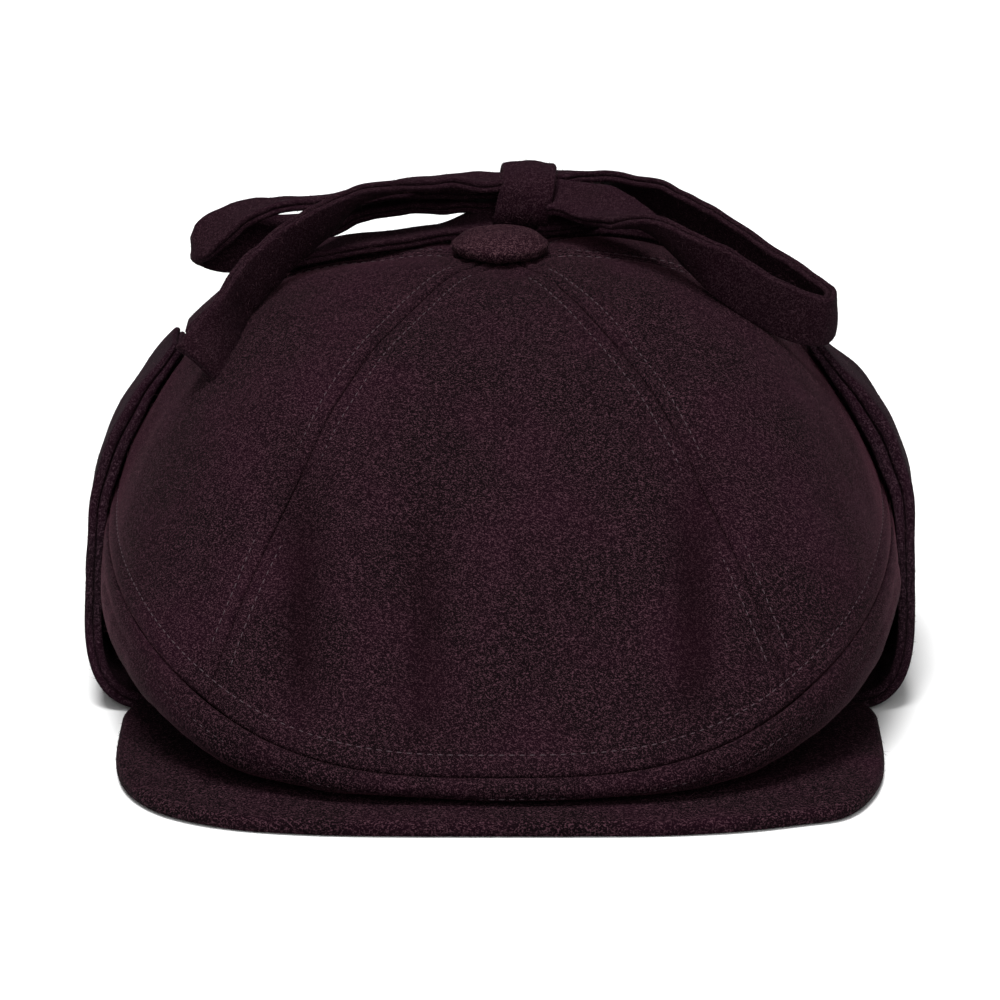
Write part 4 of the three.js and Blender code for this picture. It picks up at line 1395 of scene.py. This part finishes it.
    def strap(self, rows: Sequence[Row], hemmed: bool, bent: bool) -> Body:
        """A strap of two plies swept along a route.

        Args:
            rows: the route.
            hemmed: True if its far end is a free end with a hem.
            bent: True if it is a loop whose outer end is pinched.

        Returns:
            The strap's two plies.
        """
        table = self.route(rows, hemmed)
        fine = catmull_rom(table[:, :3], self.curve_points)
        lifts = np.stack([np.arange(len(table)), table[:, 3]], axis=1)
        lift_at = catmull_rom(lifts, self.curve_points)[:, 1]
        run = run_along(fine)
        u = shares(run[-1], self.step_along, 0.25 * self.thick) * run[-1]
        centre = read_at(u, run, fine)
        lift = np.radians(np.interp(u, run, lift_at))
        ahead = unit(np.gradient(centre, axis=0))
        wide = np.stack([np.zeros_like(lift), -np.cos(lift), np.sin(lift)], axis=-1)
        wide = unit(wide - ahead * np.sum(wide * ahead, axis=-1, keepdims=True))
        v = (self.across(self.wide) - 0.5) * self.wide
        narrow = self.bend_width(centre) if bent else np.ones(len(u))
        middle = centre[:, None, :] + wide[:, None, :] * (v[None, :] * narrow[:, None])[..., None]
        out = self.arch * self.arched(v, self.wide) + uneven(middle, self.soft)
        middle = middle + np.cross(wide, ahead)[:, None, :] * out[..., None]
        return two_plies(middle, self.thick, fold=self.hem(u[-1] - u) if hemmed else 1.0)

    def hem(self, left: Array) -> Array:
        """How full a strap is at distances from its free end: turned over and sewn down."""
        groove = self.hem_groove * bell(left, self.hem_at, self.hem_wide)
        fuller = self.hem_fuller * smooth(self.hem_at + 0.5, self.hem_at - 1.0, left)
        return (1.0 - groove + fuller)[:, None]

    def tie(self, side: Side) -> Body:
        """The strap that lies on the crown, from the flap's tip to the knot."""
        sign, run = side.value, self.ties[side]
        u_tip = np.array([[0.5 - (0.5 - run.tip_share) * sign]])
        tip = self.flap.guide(u_tip, np.array([[1.0]]))[0, 0]
        knot_side = self.knot_x - self.tie_foot + sign * (0.5 * self.knot_wide - self.into_knot)
        u = shares(self.tie_along, self.step_along, 0.25 * self.thick)[:, None]
        v = self.across(self.wide)[None, :]
        x = mix(tip[0] - sign * self.tip_in, knot_side, u)
        middle = mix(tip[1], self.knot_y - self.tie_behind, smooth(run.back_from, 1.0, u))
        y = middle + run.swing * np.sin(math.pi * u) + self.wide * (v - 0.5)
        lift = self.tie_lift * (1.0 - smooth(0.0, 0.35, u)) + 0.0 * v
        rise = run.rise * smooth(run.rise_from, 1.0, u) * mix(self.tie_front_rise, 1.0, v)
        points = self.form.crown_over(x, y)
        points = points + np.stack([0.6 * sign * lift, 0.0 * lift, lift + rise], axis=-1)
        normals = grid_normals(points)
        normals = normals * np.sign(normals[..., 2:3])
        out = self.tie_clear + 0.5 * self.thick + uneven(points, self.tie_soft)
        return two_plies(points + normals * out[..., None], self.thick)

    def knot(self) -> Body:
        """The strap wrapped once round the bow, leaning to the left at its foot."""
        turn = around(self.knot_rounds)
        deep = 0.5 * (self.knot_deep - self.thick)
        tall = 0.5 * (self.knot_tall - self.thick)
        y = np.sign(np.sin(turn)) * deep * np.abs(np.sin(turn)) ** self.knot_power
        z = np.sign(np.cos(turn)) * tall * np.abs(np.cos(turn)) ** self.knot_power
        v = (self.across(self.knot_wide) - 0.5) * self.knot_wide
        points = np.stack(np.broadcast_arrays(self.knot_x + self.knot_lean * z + v[None, :],
                                              self.knot_y + y, self.knot_z + z), axis=-1)
        out = self.knot_arch * self.arched(v, self.knot_wide) + uneven(points, self.knot_soft)
        normals = grid_normals(points, True)
        away = points - np.array([self.knot_x, self.knot_y, self.knot_z])
        outward = float(np.sign(np.sum(normals * away)))
        return two_plies(points + normals * outward * out[..., None], self.thick, True)

    def build(self, shop: Workshop) -> None:
        """Makes the ties, the knot, the loops and the tails, each with its nap."""
        bodies = {"left_tie": self.tie(Side.LEFT), "right_tie": self.tie(Side.RIGHT),
                  "bow_knot": self.knot()}
        for name, rows in self.routes.items():
            bodies[name] = self.strap(rows, hemmed="tail" in name, bent=name == "bow_left_loop")
        for number, (name, body) in enumerate(bodies.items()):
            sown = Nap(self.fewer_fibres.get(name, self.fibres), Pile.BRUSHED, 80 + number)
            shop.clothed(name, body, self.cloth, sown)


# ---------- studio
@dataclass(frozen=True)
class Lamp:
    """One large, distant lamp."""

    name: str
    place: tuple[float, float, float]  # the direction that it shines from
    strength: float  # irradiance in watts for each square metre
    soft: float  # how wide it looks from the cap, in degrees


@dataclass
class Studio:
    """White paper floor, soft lights and the camera."""

    axis: Vector
    target_mm: tuple[float, float, float] = (0.0, -20.0, 51.5)
    distance_mm: float = 1500.0
    elevation: float = 15.0  # of the camera, in degrees
    lens_mm: float = 202.5
    sensor_mm: float = 36.0
    floor_half: float = 12.0  # in metres
    sky: float = 0.18  # strength of the light from all round
    lamps: tuple[Lamp, ...] = (Lamp("key", (-0.12, -0.32, 1.3), 5.0, 26.0),
                               Lamp("front", (0.05, -1.0, 0.6), 1.7, 40.0))

    def build(self) -> None:
        """Sets up the floor, the lights, the world and the camera."""
        bpy.context.scene.view_settings.view_transform = "Standard"
        self.floor()
        self.world()
        for lamp in self.lamps:
            self.light(lamp)
        self.camera()

    def floor(self) -> None:
        """A wide plane of paper."""
        half = self.floor_half
        mesh = bpy.data.meshes.new("studio_floor")
        corners = [(x * half, y * half, 0.0) for x, y in ((-1, -1), (1, -1), (1, 1), (-1, 1))]
        mesh.from_pydata(corners, [], [(0, 1, 2, 3)])
        mesh.materials.append(StudioPaper().material())
        made = bpy.data.objects.new("studio_floor", mesh)
        bpy.context.scene.collection.objects.link(made)

    def world(self) -> None:
        """Even white light from all round."""
        world = bpy.data.worlds.new("white_studio")
        world.use_nodes = True
        background = world.node_tree.nodes["Background"]
        background.inputs["Color"].default_value = (1.0, 1.0, 1.0, 1.0)
        background.inputs["Strength"].default_value = self.sky
        bpy.context.scene.world = world

    @staticmethod
    def hang(name: str, data: bpy.types.ID, place: Vector, back: Vector) -> bpy.types.Object:
        """Puts a lamp or a camera at a place, turned away from the direction behind it."""
        made = bpy.data.objects.new(name, data)
        made.location = place
        made.rotation_mode = "QUATERNION"
        made.rotation_quaternion = (-back).to_track_quat("-Z", "Y")
        bpy.context.scene.collection.objects.link(made)
        return made

    def light(self, lamp: Lamp) -> None:
        """Hangs a lamp, turned to the cap."""
        data = bpy.data.lights.new(lamp.name, "SUN")
        data.energy = lamp.strength
        data.angle = math.radians(lamp.soft)
        place = Vector(lamp.place)
        self.hang(lamp.name, data, self.axis + place, place)

    def camera(self) -> None:
        """A long lens in front of the cap, a little above it."""
        data = bpy.data.cameras.new("camera")
        data.lens = self.lens_mm
        data.sensor_width = self.sensor_mm
        rise = math.radians(self.elevation)
        back = Vector((0.0, -math.cos(rise), math.sin(rise)))
        target = self.axis + Vector(self.target_mm) * MM
        place = target + back * self.distance_mm * MM
        bpy.context.scene.camera = self.hang("camera", data, place, back)


def main() -> None:
    """Builds the cap and its studio in order."""
    logging.basicConfig(level=logging.INFO, format="%(name)s: %(message)s")
    low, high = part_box("headband")
    axis = Vector(((low[0] + high[0]) / 2, (low[1] + high[1]) / 2, 0.0))
    Studio(axis).build()
    log.info("studio built")
    form = CapForm()
    flap = EarFlap(form)
    shop = Workshop(axis)
    for part in (Crown(form), LowerWall(form), Headband(form), Peak(form), TopButton(), flap,
                 Bow(form, flap)):
        part.build(shop)
        log.info("%s built", type(part).__name__)


if __name__ == "__main__":
    main()
